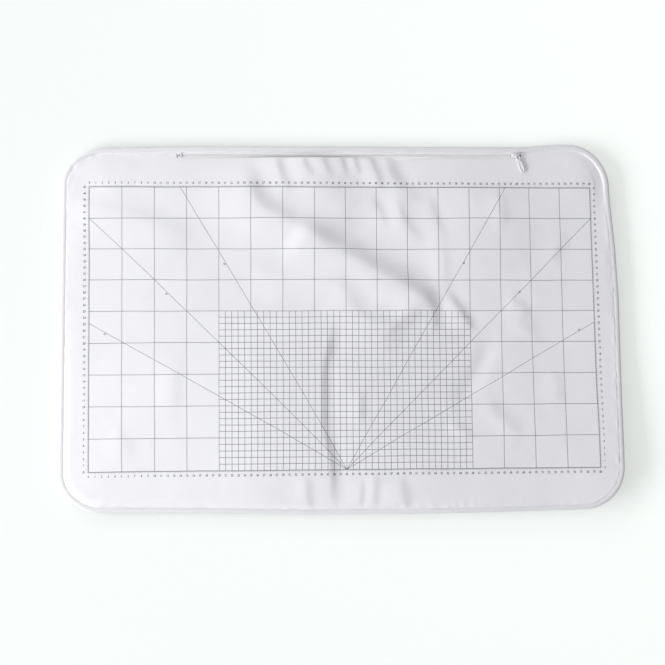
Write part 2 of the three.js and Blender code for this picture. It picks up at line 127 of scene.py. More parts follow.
def wander(x, y):
    """Moves points from the ideal outline to the real one, less and less towards the middle."""
    right = curve_through(y, right_edge) * smooth_step(x, half_length - side_reach, half_length)
    left = curve_through(y, left_edge) * smooth_step(-x, half_length - side_reach, half_length)
    near = curve_through(x, near_edge) * smooth_step(-y, half_depth - near_reach, half_depth)
    far = curve_through(x, far_edge) * smooth_step(y, half_depth - far_reach, half_depth)
    return x + right - left, y + far - near


near_lift, near_lift_columns, near_lift_rows = 8.5 * mm, (-330 * mm, 260 * mm), (0, 270 * mm)
right_lift, right_lift_columns = 4 * mm, (310 * mm, 480 * mm)


def raised(x, y):
    """How far the pad stands off the table: kept folded, it doesn't lie down at its near and right edges."""
    at_near_edge = near_lift * smooth_step(x, *near_lift_columns) * smooth_step(-y, *near_lift_rows)
    return at_near_edge + right_lift * smooth_step(x, *right_lift_columns)


print("zip line at y =", round(zip_line / mm, 2), "mm")

# %% [markdown]
# ## Mesh helpers
#
# Each piece is built with bmesh operators and ends as an object at the origin, with its place in its mesh. A
# few short helpers keep that in one place: one writes the bmesh to a mesh that rides on a body, two read and
# move all the points at once with numpy, and two pick the new points or edges out of what an operator has
# made.

# %% Helpers for pieces


def points_of(mesh):
    flat = np.empty(len(mesh.vertices) * 3, np.float32)
    mesh.vertices.foreach_get("co", flat)
    return flat.reshape(-1, 3).astype(float)


def move_points(mesh, points):
    mesh.vertices.foreach_set("co", np.asarray(points, np.float32).ravel())
    mesh.update()


def finished_piece(name, work, body="pad", smooth=True):
    """Writes a bmesh to a new object that rides on a body."""
    mesh = bpy.data.meshes.new(name)
    work.to_mesh(mesh)
    work.free()
    piece = in_scene(name, mesh)
    mesh.polygons.foreach_set("use_smooth", [smooth] * len(mesh.polygons))
    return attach(piece, body)


def keep_attribute(mesh, name, values):
    """Stores a vector for each point, which a material can read as the thread's own coordinates."""
    attribute = mesh.attributes.new(name, "FLOAT_VECTOR", "POINT")
    attribute.data.foreach_set("vector", np.asarray(values, np.float32).ravel())


def points_in(made):
    return [item for item in made if isinstance(item, bmesh.types.BMVert)]


def edges_in(made):
    return [item for item in made if isinstance(item, bmesh.types.BMEdge)]


def report(piece):
    low, high = Vector(piece.bound_box[0]), Vector(piece.bound_box[6])
    size = [round(v / mm, 1) for v in high - low]
    print(piece.name, len(piece.data.polygons), "faces,", size, "mm")
    return piece


# %% [markdown]
# ## The folds of the top panel
#
# The panel is slightly bigger than the padding under it, so it lies in soft folds: a long one that crosses
# the pad, an upright crease in the middle, and a fan of puckers that the zip gathers. A cloth solver could
# make folds too, but never these ones in these places, so each fold is drawn as a line with a height and a
# width on either side. The side away from the light is the steep one, and the eye sees it as a dark line.
# That is the line which the table gives: the ridge stands a little to its light side, and a shallow dip
# follows on the steep side. The last folds of the table are broad and low, and tilt whole stretches of the
# cloth. Every fold fades at its ends.

# %% Folds, in millimetres: the line, height, width on the light side, width on the steep side
folds = [
    ([(-160, 296), (-140, 248), (-133, 220), (-116, 197), (-80, 178), (-47, 160), (-24, 143), (3, 128),
      (29, 114), (55, 99), (82, 85), (108, 69), (129, 54), (145, 36), (157, 16)], 4.6, 52, 19),
    ([(126, 66), (142, 42), (148, 22), (146, -2), (136, -22)], 1.6, 16, 9),
    ([(-12, 16), (-17, -10), (-24, -42), (-30, -68), (-31, -95), (-32, -121), (-32, -142), (-31, -163),
      (-27, -183), (-22, -204), (-20, -230), (-20, -258), (-21, -304)], 2.3, 110, 9),
    ([(-100, 300), (-97, 262), (-88, 236), (-70, 216)], 1.6, 26, 9),
    ([(-62, 300), (-55, 262), (-38, 240)], 1.0, 17, 6),
    ([(-30, 300), (-24, 264), (-8, 240)], 0.9, 14, 6),
    ([(-4, 300), (4, 268), (14, 240)], 0.9, 12, 5),
    ([(18, 300), (26, 266), (34, 240)], 0.9, 12, 5),
    ([(46, 300), (52, 268), (62, 240), (70, 212)], 1.4, 20, 7),
    ([(44, 214), (56, 198), (68, 176), (74, 150)], 1.3, 26, 9),
    ([(74, 292), (82, 262), (90, 242), (106, 226), (134, 214)], 2.2, 34, 13),
    ([(88, 212), (96, 190), (106, 168), (120, 152), (146, 140)], 1.3, 24, 9),
    ([(146, 214), (150, 186), (160, 158), (176, 138)], 1.0, 22, 8),
    ([(160, 152), (166, 117), (169, 84), (168, 52)], 1.0, 20, 12),
    ([(160, 66), (174, 46), (190, 26), (204, 4), (212, -14)], 2.0, 18, 8),
    ([(262, 48), (284, 36), (306, 20)], 1.3, 12, 9),
    ([(240, 30), (284, 14), (302, -6), (300, -30)], 1.0, 16, 14),
    ([(232, -6), (222, -34), (206, -62), (192, -88), (176, -112), (160, -134)], -1.5, 14, 15),
    ([(160, -150), (182, -158), (206, -172)], 1.1, 10, 8),
    ([(222, -112), (248, -140), (292, -178)], 1.2, 17, 12),
    ([(-434, 208), (-376, 196), (-329, 186), (-287, 172), (-228, 146)], 1.7, 34, 16),
    ([(-150, 100), (-100, 84), (-50, 84), (-6, 74), (14, 50), (34, 24), (70, 8), (110, 0)], 1.9, 34, 16),
    ([(30, -96), (28, -127), (27, -162)], 1.1, 14, 8),
    ([(50, -226), (47, -256), (43, -300)], 0.7, 12, 6),
    ([(27, -240), (24, -268), (21, -300)], 0.7, 13, 5),
    ([(84, -232), (92, -262), (98, -300)], 1.1, 24, 10),
    ([(-62, -226), (-58, -262), (-57, -300)], 1.0, 16, 8),
    ([(-250, -40), (-262, -92), (-256, -130)], 0.8, 20, 12),
    ([(-360, -150), (-340, -172), (-330, -205)], 0.8, 20, 12),
    ([(270, 214), (262, 186), (274, 164)], 1.0, 14, 11),
    ([(330, -60), (346, -96), (340, -140)], 0.8, 18, 12),
    ([(372, 150), (352, 120), (346, 88)], 0.9, 18, 12),
    ([(290, 240), (286, 190), (286, 140), (296, 80)], 3.2, 70, 90),
    ([(-12, 330), (-2, 264), (16, 215), (48, 160)], 4.4, 84, 55),
    ([(118, 240), (124, 190), (132, 140)], 1.6, 40, 36),
    ([(-100, 0), (-95, -150), (-95, -350)], 4.6, 300, 90),
    ([(104, 50), (104, -60), (104, -150), (112, -350)], 5.2, 260, 125),
    ([(-70, 186), (-44, 172), (-12, 152), (34, 124), (60, 108), (86, 92), (114, 74), (144, 47),
      (164, 12)], 2.4, 56, 28),
]
line_steps = 7
fold_reach = 3.2
line_to_ridge = 0.7
fade_length, least_fade, most_fade = 45 * mm, 0.16, 0.36
dip_share, dip_place, dip_width = 0.2, 2.1, 1.2


def rounded_line(corners):
    """A smooth line through the corners, cut into short steps."""
    ends = [2 * corners[0] - corners[1], *corners, 2 * corners[-1] - corners[-2]]
    line = []
    for before, start, end, after in zip(ends, ends[1:], ends[2:], ends[3:]):
        for step in range(line_steps):
            t = step / line_steps
            bend = 2 * before - 5 * start + 4 * end - after
            twist = 3 * start - before - 3 * end + after
            line.append(0.5 * (2 * start + (end - before) * t + bend * t * t + twist * t ** 3))
    return np.array([*line, ends[-2]])


def fold_lift(x, y):
    """Height that all the folds add at each point."""
    lift = np.zeros_like(x)
    for corners, height, light_side, steep_side in folds:
        line = rounded_line([np.array(corner) * mm for corner in corners])
        reach = fold_reach * max(light_side, steep_side) * mm
        low, high = line.min(0) - reach, line.max(0) + reach
        near = np.flatnonzero((x > low[0]) & (x < high[0]) & (y > low[1]) & (y < high[1]))
        nearest = np.full(len(near), np.inf)
        side = np.zeros(len(near))
        along = np.zeros(len(near))
        for i, (start, end) in enumerate(zip(line, line[1:])):
            way = end - start
            off_x, off_y = x[near] - start[0], y[near] - start[1]
            share = np.clip((off_x * way[0] + off_y * way[1]) / (way @ way), 0, 1)
            distance = np.hypot(off_x - share * way[0], off_y - share * way[1])
            turned = way[0] * off_y - way[1] * off_x
            closer = distance < nearest
            nearest[closer] = distance[closer]
            side[closer] = np.sign(turned[closer])
            along[closer] = (i + share[closer]) / (len(line) - 1)
        steep = (steep_side if height > 0 else light_side) * mm
        across = nearest * side + math.copysign(line_to_ridge, height) * steep
        width = np.where(across > 0, steep_side, light_side) * mm
        ends = np.clip(fade_length / np.hypot(*np.diff(line, axis=0).T).sum(), least_fade, most_fade)
        fade = smooth_step(along, 0, ends) * smooth_step(-along, -1, -1 + ends)
        ridge = np.exp(-((across / width) ** 2))
        dip = dip_share * np.exp(-(((across - dip_place * steep) / (dip_width * steep)) ** 2))
        lift[near] += height * mm * (ridge - (dip if height > 0 else 0)) * fade
    return lift


print(len(folds), "folds, the tallest", max(fold[1] for fold in folds), "mm")

# %% [markdown]
# ## The print as part of the panel
#
# On the real pad the grid is screen-printed ink. It could be an image or a shader pattern, but an image isn't
# wanted here and a pattern gets soft when the model is baked. So the lines are cut into the mesh instead: the
# grid's columns and rows are slid so that two of them run along the edges of each printed line, and the
# narrow faces between them get the ink. Such a line stays crisp at any distance and bends with every fold.

# %% Printed sizes
print_half = np.array([400, 225]) * mm
square = 50 * mm
centimetre = 10 * mm
line_half = 0.37 * mm
fine_line_half = 0.36 * mm
angle_line_half = 0.31 * mm
fine_low = np.array([-200, -225]) * mm
fine_high = np.array([200, 25]) * mm
angle_lines = [(angle, side) for angle in (30, 45, 60) for side in (-1, 1)]
trim_inset = 12 * mm
margin_step = 3 * mm
least_gap = 0.8 * mm


def angle_line(angle, side):
    """Direction and length of a printed line that starts at the bottom middle of the grid."""
    slope = math.radians(angle)
    way = np.array([side * math.cos(slope), math.sin(slope)])
    length = min(print_half[0] / abs(way[0]), 2 * print_half[1] / way[1])
    return way, length


def mesh_places(axis, parts, extra):
    """Places of the mesh's columns or rows: a pair for each printed line, and even steps in between."""
    half = print_half[axis]
    edge = (half_length, half_depth)[axis] - trim_inset
    places = []
    for number in range(round(2 * half / centimetre) + 1):
        place = -half + number * centimetre
        if number % 5 == 0:
            places += [place - line_half, place + line_half]
        elif fine_low[axis] <= place <= fine_high[axis]:
            places += [place - fine_line_half, place + fine_line_half]
        else:
            places.append(place)
        if place < half - line_half:
            places += [place + centimetre * part / parts for part in range(1, parts)]
    margin = np.linspace(half, edge, round((edge - half) / margin_step) + 1)[1:]
    for wanted in extra:
        side = np.sign(wanted)
        near = np.abs(side * margin - wanted) < 2 * least_gap
        margin = margin[~near] if near.any() and abs(wanted) > half else margin
        places = [place for place in places if abs(place - wanted) > least_gap]
    return np.unique(np.round(np.concatenate([places, margin, -margin, extra]), 7))


columns = mesh_places(0, 4, (slot_left, slot_right))
rows = mesh_places(1, 3, (slot_near,))
print(len(columns), "columns and", len(rows), "rows")

# %% [markdown]
# ## Cutting the panel
#
# A flat grid is slid to those places, its corners are rounded with short straight cuts, and the six angle
# lines are cut across it with `bisect_plane`, each along both of its edges. Then the opening for the zip
# comes out, and the outline is extruded to the seam in narrow steps.

# %% A grid in the pad's outline


def slid_grid(columns, rows):
    work = bmesh.new()
    bmesh.ops.create_grid(work, x_segments=len(columns) - 1, y_segments=len(rows) - 1, size=0.5)
    for point in work.verts:
        column = round((point.co.x + 0.5) * (len(columns) - 1))
        row = round((point.co.y + 0.5) * (len(rows) - 1))
        point.co = (columns[column], rows[row], 0)
    return work


def corner_middle(side_x, side_y):
    return Vector((side_x * (half_length - corner_radius), side_y * (half_depth - corner_radius), 0))


corner_cuts = 14


def round_corners(work, inset):
    """Trims the four corners with straight cuts that touch the outline's arcs."""
    overlap = 2 * mm
    for side_x, side_y in ((-1, -1), (-1, 1), (1, -1), (1, 1)):
        middle = corner_middle(side_x, side_y)
        faces = [face for face in work.faces
                 if (face.calc_center_median().x - middle.x) * side_x > -overlap
                 and (face.calc_center_median().y - middle.y) * side_y > -overlap]
        for cut in range(corner_cuts):
            turn = (cut + 0.5) / corner_cuts * math.pi / 2
            way = Vector((side_x * math.cos(turn), side_y * math.sin(turn), 0))
            around = {item for face in faces if face.is_valid for item in (face, *face.edges, *face.verts)}
            made = bmesh.ops.bisect_plane(work, geom=list(around), dist=1e-7, clear_outer=True,
                                          plane_co=middle + way * (corner_radius - inset), plane_no=way)
            faces = [item for item in {*made["geom"], *faces}
                     if item.is_valid and isinstance(item, bmesh.types.BMFace)]


# %% Lines cut across it, and the way out to the seam


def cut_angle_lines(work):
    beside_line, past_ends = 3.2 * mm, 3 * mm
    start = Vector((0, -print_half[1], 0))
    for angle, side in angle_lines:
        way, length = angle_line(angle, side)
        across = Vector((-way[1], way[0], 0))
        for edge_side in (-1, 1):
            around = set()
            for face in work.faces:
                off = face.calc_center_median() - start
                along = off.x * way[0] + off.y * way[1]
                if abs(off.dot(across)) < beside_line and -past_ends < along < length + past_ends:
                    around.update((face, *face.edges, *face.verts))
            bmesh.ops.bisect_plane(work, geom=list(around), dist=1e-7, plane_no=across,
                                   plane_co=start + across * angle_line_half * edge_side)


def outer_edges(work, inset):
    found = []
    for edge in work.edges:
        if edge.is_boundary:
            middle = (edge.verts[0].co + edge.verts[1].co) / 2
            if abs(float(inset_of(middle.x, middle.y)) - inset) < 0.3 * mm:
                found.append(edge)
    return found


def away_from_middle(place):
    """Unit direction from a point to the nearest spot of the outline."""
    step = 0.05 * mm
    slope_x = inset_of(place.x - step, place.y) - inset_of(place.x + step, place.y)
    slope_y = inset_of(place.x, place.y - step) - inset_of(place.x, place.y + step)
    return Vector((slope_x, slope_y, 0)).normalized()


def extrude_to_seam(work, insets):
    """Extrudes the outline outwards, one narrow ring after another."""
    edges = outer_edges(work, insets[0])
    for inset, next_inset in zip(insets, insets[1:]):
        made = bmesh.ops.extrude_edge_only(work, edges=edges)["geom"]
        for point in points_in(made):
            point.co += away_from_middle(point.co) * (inset - next_inset)
        edges = [edge for edge in edges_in(made) if edge.is_boundary
                 and all(abs(float(inset_of(point.co.x, point.co.y)) - next_inset) < 0.2 * mm
                         for point in edge.verts)]


# %% The flat panel
flat_panel = slid_grid(columns, rows)
round_corners(flat_panel, trim_inset)
cut_angle_lines(flat_panel)
in_slot = [face for face in flat_panel.faces if face.calc_center_median().y > slot_near
           and slot_left < face.calc_center_median().x < slot_right]
bmesh.ops.delete(flat_panel, geom=in_slot, context="FACES")
rim_insets = [trim_inset, 11 * mm, 10.1 * mm, 9.4 * mm, 8.8 * mm, 8.3 * mm, seam_inset]
extrude_to_seam(flat_panel, rim_insets)
print(len(flat_panel.faces), "faces in the flat panel")

# %% [markdown]
# ## Which faces carry ink
#
# A face is printed when its middle lies on a line of the grid, of the fine grid or of an angle line.

# %% Ink
within_line = 0.9


def on_lines(values, start, step, half):
    from_line = (values - start + step / 2) % step - step / 2
    return np.abs(from_line) < within_line * half


def printed(x, y):
    inside = (np.abs(x) < print_half[0] + line_half) & (np.abs(y) < print_half[1] + line_half)
    main = on_lines(x, -print_half[0], square, line_half) | on_lines(y, -print_half[1], square, line_half)
    in_fine = ((x > fine_low[0] - line_half) & (x < fine_high[0] + line_half)
               & (y > fine_low[1] - line_half) & (y < fine_high[1] + line_half))
    fine = (on_lines(x, -print_half[0], centimetre, fine_line_half)
            | on_lines(y, -print_half[1], centimetre, fine_line_half))
    ink = (inside & main) | (in_fine & fine)
    for angle, side in angle_lines:
        way, length = angle_line(angle, side)
        off_x, off_y = x, y + print_half[1]
        along = off_x * way[0] + off_y * way[1]
        across = np.abs(off_y * way[0] - off_x * way[1])
        ink |= (across < within_line * angle_line_half) & (along > 0) & (along < length)
    return ink


print("ink at a corner of a square:", bool(printed(*-print_half)), "and in its middle:",
      bool(printed(*(square / 2 - print_half))))

# %% [markdown]
# ## Laying the panel on the padding
#
# `cloth_place` takes a point of the flat cloth to its place on the pad: the print sits a few millimetres off
# the middle and slightly turned, with its lines a little bent, as cotton stretches when it is sewn. Towards
# the edge that fades into the wandering outline. `crown_height` is the shape of the padding, nearly level up
# to the seam but sloping down to the zip, except in the far left corner. `cloth_height` adds the roll down to
# the seam, the folds, the gathers along the seam, and the soft unevenness of wadding under thin cotton.

# %% Where a point of the cloth comes to lie
print_turn = math.radians(-0.269)
print_middle = np.array([3.63, -0.355]) * mm
top_drift = [(-400, -2.2), (-300, -0.6), (-200, 1), (-100, 2.4), (-50, 3.2), (0, 2.4), (100, 2), (250, 1.6),
             (310, -0.6), (400, -0.8)]
bottom_drift = [(-400, 0.2), (-300, 1.5), (-200, 1), (0, -1), (200, -2.6), (250, -2.3), (350, -1.4),
                (400, 0.6)]
left_drift = [(-225, 0.9), (-175, 1.4), (-75, 0.5), (75, 0.6), (125, -0.6), (175, -1.9), (225, -1.3)]
right_drift = [(-225, 0.2), (-175, 1.3), (-75, 0.7), (0, 0.7), (50, -0.4), (125, -0.4), (175, 0.5),
               (225, 0.1)]
stretch_size, stretch_x, stretch_y = 70 * mm, 0.5, 0.6
edge_insets = 20 * mm, 36 * mm


def soft_noise(x, y, size, seed):
    """Smooth random heights about as wide as size, the same in every run."""
    return np.array([noise.noise((px / size, py / size, seed)) for px, py in zip(x, y)])


def cloth_place(x, y):
    up_share = np.clip((y + print_half[1]) / (2 * print_half[1]), 0, 1)
    right_share = np.clip((x + print_half[0]) / (2 * print_half[0]), 0, 1)
    drift_x = curve_through(x, top_drift) * up_share + curve_through(x, bottom_drift) * (1 - up_share)
    drift_y = curve_through(y, right_drift) * right_share + curve_through(y, left_drift) * (1 - right_share)
    in_print_x = x + drift_x + soft_noise(x, y, stretch_size, 3.1) * stretch_x * mm
    in_print_y = y + drift_y + soft_noise(x, y, stretch_size, 8.7) * stretch_y * mm
    print_x = print_middle[0] + in_print_x * math.cos(print_turn) - in_print_y * math.sin(print_turn)
    print_y = print_middle[1] + in_print_x * math.sin(print_turn) + in_print_y * math.cos(print_turn)
    edge_x, edge_y = wander(x, y)
    share = smooth_step(inset_of(x, y), *edge_insets)
    return edge_x + (print_x - edge_x) * share, edge_y + (print_y - edge_y) * share


print("the print's middle lies at", [round(float(v) / mm, 1) for v in print_middle], "mm")

# %% How high it lies
seam_height = 10.1 * mm
level_low, level_rise, level_width = 10.35 * mm, 3.45 * mm, 110 * mm
slope_low, slope_rise, slope_width = 8.1 * mm, 5.9 * mm, 40 * mm
slope_rows, slope_columns = (170 * mm, 250 * mm), (-440 * mm, -350 * mm)


def crown_height(inset, x, y):
    """The padding's shape: a slope down to the zip, elsewhere nearly level right up to the seam."""
    past_seam = inset - seam_inset
    level = level_low + level_rise * (1 - np.exp(-past_seam / level_width))
    slope = slope_low + slope_rise * (1 - np.exp(-past_seam / slope_width))
    return level + (slope - level) * smooth_step(y, *slope_rows) * smooth_step(x, *slope_columns)


seam_roll = 1.2 * mm
free_insets = 8 * mm, 17 * mm
swells = ((0.34, 62 * mm, 5.5), (0.13, 21 * mm, 2.2))
pull_x, pull_y, pull_stretch, pull_reach = 290 * mm, 262 * mm, 1.6, (18 * mm, 34 * mm)
gather_slant, gather_height, gather_inset, gather_width = 0.35, 0.5, 11 * mm, 6 * mm


def unevenness(x, y, inset, free):
    """Swells of the wadding and gathers along the seam, in millimetres."""
    swell = sum(height * soft_noise(x, y, size, seed) for height, size, seed in swells)
    gathers = soft_noise(x + gather_slant * y, y - gather_slant * x, 8 * mm, 6.4) * gather_height
    gathers = gathers * np.exp(-(((inset - gather_inset) / gather_width) ** 2))
    return swell * free + gathers * (inset > seam_inset + 0.2 * mm)


def cloth_height(x, y):
    """Height at points of the flat cloth. Under the zip's pull the cloth is smooth."""
    inset = inset_of(x, y)
    place_x, place_y = cloth_place(x, y)
    too_high = crown_height(seam_inset, x, y) - seam_height
    to_seam = too_high * np.exp(-(inset - seam_inset) / seam_roll)
    free = smooth_step(inset, *free_insets)
    from_pull = np.hypot((place_x - pull_x) / pull_stretch, place_y - pull_y)
    lift = fold_lift(place_x, place_y) * free + unevenness(x, y, inset, free) * mm
    return crown_height(inset, x, y) - to_seam + lift * smooth_step(from_pull, *pull_reach) + raised(x, y)


print("crown at the middle", round(crown_height(half_depth, 0, 0) / mm, 1), "mm")

# %% The top panel
top_panel = finished_piece("top_panel", flat_panel)
flat = points_of(top_panel.data)
middles = np.empty(len(top_panel.data.polygons) * 3, np.float32)
top_panel.data.polygons.foreach_get("center", middles)
ink = printed(*middles.reshape(-1, 3)[:, :2].T.astype(float))
top_panel.data.polygons.foreach_set("material_index", ink.astype(np.int32))
place_x, place_y = cloth_place(flat[:, 0], flat[:, 1])
move_points(top_panel.data, np.stack([place_x, place_y, cloth_height(flat[:, 0], flat[:, 1])], 1))
keep_attribute(top_panel.data, "thread_place", flat)
print(int(ink.sum()), "printed faces")

# %% [markdown]
# ## The hem at the zip
#
# The panel's edge is folded under along the zip, so its lip looks twice as thick and soundly rounded. Three
# small extrusions of the open edge make it: two round the fold and one back under the panel.

# %% Hem of the zip opening
hem_steps = [(0.35 * mm, -0.3 * mm), (-0.5 * mm, -0.35 * mm), (-4.5 * mm, -0.1 * mm)]


def turn_hem_under(piece):
    """Extrudes the open edge by steps, each so far over the opening and so far up."""
    work = bmesh.new()
    work.from_mesh(piece.data)
    thread = work.verts.layers.float_vector["thread_place"]

    def in_opening(point):
        flat_x, flat_y = point[thread].x, point[thread].y
        return (slot_left - mm < flat_x < slot_right + mm and flat_y > slot_near - mm
                and inset_of(flat_x, flat_y) > rim_insets[0] - mm)

    edges = [edge for edge in work.edges
             if edge.is_boundary and all(in_opening(point) for point in edge.verts)]
    for over, up in hem_steps:
        made = bmesh.ops.extrude_edge_only(work, edges=edges)["geom"]
        for point in points_in(made):
            if point[thread].y < slot_near + 0.1 * mm:
                point.co.y += over
            if abs(point[thread].x - slot_left) < 0.1 * mm:
                point.co.x += over
            if abs(point[thread].x - slot_right) < 0.1 * mm:
                point.co.x -= over
            point.co.z += up
        edges = [edge for edge in edges_in(made)
                 if edge.is_boundary and all(point in made for point in edge.verts)]
    work.to_mesh(piece.data)
    work.free()


turn_hem_under(top_panel)
top_panel.data.polygons.foreach_set("use_smooth", [True] * len(top_panel.data.polygons))
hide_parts("top_cover")
report(top_panel)

# %% [markdown]
# ## Ticks and numbers
#
# Round the grid runs a ruler: a tick at every millimetre and a number at every centimetre. They are far too
# many to cut into the panel, so they are a thin layer of their own, like ink that stands a few hundredths of
# a millimetre proud. The numbers come from text that is made a mesh, digit by digit, and each point is then
# dropped onto the cloth, so the print follows the folds.

# %% Dropping flat shapes onto the cloth
panel_tree = BVHTree.FromPolygons([tuple(point) for point in points_of(top_panel.data)],
                                  [tuple(face.vertices) for face in top_panel.data.polygons])
ink_proud = 0.05 * mm


def panel_top(x, y):
    """Height of the finished panel at a place, found by looking straight down at it."""
    return panel_tree.ray_cast(Vector((x, y, 0.1)), Vector((0, 0, -1)))[0].z


def onto_panel(flat_points):
    """Flat points of the cloth, as points just above the finished panel."""
    place_x, place_y = cloth_place(flat_points[:, 0], flat_points[:, 1])
    return np.array([(x, y, panel_top(x, y) + ink_proud) for x, y in zip(place_x, place_y)])


print("the panel's middle lies", round(panel_top(0, 0) / mm, 1), "mm up")

# %% Digits as flat meshes
number_height = 3.6 * mm
digit_step = 2.05 * mm
digit_share = 0.7


def glyph_mesh(sign):
    """One sign as flat points and faces, a digit one unit high, centred."""
    text = bpy.data.curves.new("sign", "FONT")
    text.body = sign
    text.resolution_u = 2
    text.offset = 0.022
    text.fill_mode = "FRONT"
    holder = in_scene("sign", text)
    mesh = bpy.data.meshes.new_from_object(holder.evaluated_get(bpy.context.evaluated_depsgraph_get()))
    points = points_of(mesh)[:, :2]
    faces = [tuple(face.vertices) for face in mesh.polygons]
    bpy.data.objects.remove(holder)
    bpy.data.curves.remove(text)
    bpy.data.meshes.remove(mesh)
    low, high = points.min(0), points.max(0)
    return (points - (low + high) / 2) / digit_share, faces


glyphs = {sign: glyph_mesh(sign) for sign in "0123456789°"}
print("digit faces", [len(glyphs[sign][1]) for sign in "0123456789"])

# %% The ruler
ruler_points, ruler_faces = [], []
digit_width = 0.82
degree_up, degree_back = 0.3, 0.25 * mm
tick_lengths, tick_half = (2.6, 1.9, 1.2), 0.17 * mm
number_beside, number_below = 7.4 * mm, 7 * mm
angle_label_places = {60: 0.726, 45: 0.698, 30: 0.936}
angle_label_rise, angle_label_height = 2.6 * mm, 2.8 * mm


def add_flat(points, faces):
    first = len(ruler_points)
    ruler_points.extend(points)
    ruler_faces.extend([tuple(first + corner for corner in face) for face in faces])


def add_label(label, place, turn=0.0, height=number_height):
    way = np.array([math.cos(turn), math.sin(turn)])
    up = np.array([-way[1], way[0]])
    for i, sign in enumerate(label):
        points, faces = glyphs[sign]
        middle = np.array(place) + way * (i - (len(label) - 1) / 2) * digit_step * height / number_height
        if sign == "°":
            middle = middle + up * height * degree_up - way * degree_back
        add_flat([middle + (way * x * digit_width + up * y) * height for x, y in points], faces)


def add_tick(place, outwards, number):
    """A tick from the border outwards: longest at a centimetre, middling at half of one."""
    length = tick_lengths[0 if number % 10 == 0 else 1 if number % 5 == 0 else 2] * mm
    along = np.array([outwards[1], outwards[0]]) * tick_half
    start = np.array(place) + np.array(outwards) * line_half
    end = start + np.array(outwards) * length
    add_flat([start - along, start + along, end + along, end - along], [(0, 1, 2, 3)])


for side in (-1, 1):
    for number in range(0, 801):
        place = (-print_half[0] + number * mm, side * print_half[1])
        add_tick(place, (0, side), number)
        if number % 10 == 0:
            add_label(str(number // 10), (place[0], place[1] + side * number_below))
    for number in range(0, 451):
        place = (side * print_half[0], -print_half[1] + number * mm)
        add_tick(place, (side, 0), number)
        if number % 10 == 0:
            add_label(str(number // 10), (place[0] + side * number_beside, place[1]))
for angle, side in angle_lines:
    way, length = angle_line(angle, side)
    on_line = np.array([0, -print_half[1]]) + way * length * angle_label_places[angle]
    above_line = np.array([side * way[1], way[0]]) * angle_label_rise
    add_label(f"{angle}°", on_line + above_line, math.atan(way[1] / way[0]), angle_label_height)
print(len(ruler_faces), "flat faces in the ruler")

# %% The ruler as a piece
ruler_work = bmesh.new()
ruler_corners = [ruler_work.verts.new(point) for point in onto_panel(np.array(ruler_points))]
for face in ruler_faces:
    ruler_work.faces.new([ruler_corners[corner] for corner in face])
bmesh.ops.recalc_face_normals(ruler_work, faces=ruler_work.faces)
for face in ruler_work.faces:
    if face.normal.z < 0:
        face.normal_flip()
ruler_print = finished_piece("ruler_print", ruler_work, smooth=False)
report(ruler_print)

# %% [markdown]
# ## The piping
#
# Piping is a cord wrapped in a strip of cotton cut on the bias, and sewn between the two panels by its tails.
# Its section is drawn once, as an open chain of points, and taken round the pad the way the sewing machine
# goes: extruded along the straight sides and spun round the corners. Then the same points get the wandering
# outline, a little unevenness, and the small wrinkles that a bias strip makes.

# %% Taking a section round the pad
piping_radius = 5 * mm
piping_height = 7.4 * mm
piping_squash = 0.58
tail_inset = 13 * mm


def run_round(section, step, corner_steps, closed=False):
    """A bmesh of a section, (distance in from the edge, height) pairs, taken round the outline."""
    work = bmesh.new()
    start_y = -(half_depth - corner_radius)
    chain = [work.verts.new((half_length - inset, start_y, height)) for inset, height in section]
    pairs = list(zip(chain, chain[1:])) + ([(chain[-1], chain[0])] if closed else [])
    front = [work.edges.new(pair) for pair in pairs]
    sides = [(Vector((0, 1, 0)), half_depth), (Vector((-1, 0, 0)), half_length),
             (Vector((0, -1, 0)), half_depth), (Vector((1, 0, 0)), half_length)]
    for (way, half), corner in zip(sides, ((1, 1), (-1, 1), (-1, -1), (1, -1))):
        length = 2 * (half - corner_radius)
        steps = round(length / step)
        for _ in range(steps):
            made = bmesh.ops.extrude_edge_only(work, edges=front)["geom"]
            points = points_in(made)
            bmesh.ops.translate(work, verts=points, vec=way * length / steps)
            front = [edge for edge in edges_in(made) if all(point in points for point in edge.verts)]
        front = edges_in(bmesh.ops.spin(work, geom=front, cent=corner_middle(*corner), axis=(0, 0, 1),
                                        angle=math.pi / 2, steps=corner_steps, use_merge=False)["geom_last"])
    bmesh.ops.remove_doubles(work, verts=work.verts, dist=0.01 * mm)
    bmesh.ops.recalc_face_normals(work, faces=work.faces)
    return work


def way_round(x, y):
    """How far along the outline a point lies, measured roughly, from the middle of the right side."""
    turn = np.arctan2(y / half_depth, x / half_length)
    return turn * (half_length + half_depth) * 2 / math.pi


straights = 4 * (half_length + half_depth - 2 * corner_radius)
print("the outline is", round((straights + 2 * math.pi * corner_radius) / mm), "mm round")

# %% The bias strip
tail_apart, tail_flat, boxiness = 0.4 * mm, 3 * mm, 0.55
turns = np.linspace(math.radians(-7), math.radians(-353), 25)
tube = [(piping_radius * (1 + math.cos(turn)),
         piping_height + piping_radius * math.copysign(abs(math.sin(turn)) ** boxiness, math.sin(turn)))
        for turn in turns]
lower_tail = [(inset, piping_height - tail_apart) for inset in (tail_inset, tail_inset - tail_flat)]
upper_tail = [(inset, piping_height + tail_apart) for inset in (tail_inset - tail_flat, tail_inset)]
strip_section = [*lower_tail, *tube, *upper_tail]
piping = finished_piece("piping", run_round(strip_section, step=4.5 * mm, corner_steps=24))
twill_size, twill_turn, twill_swell = 9 * mm, 0.9, 0.035
slow_size, slow_swell = 55 * mm, 0.03


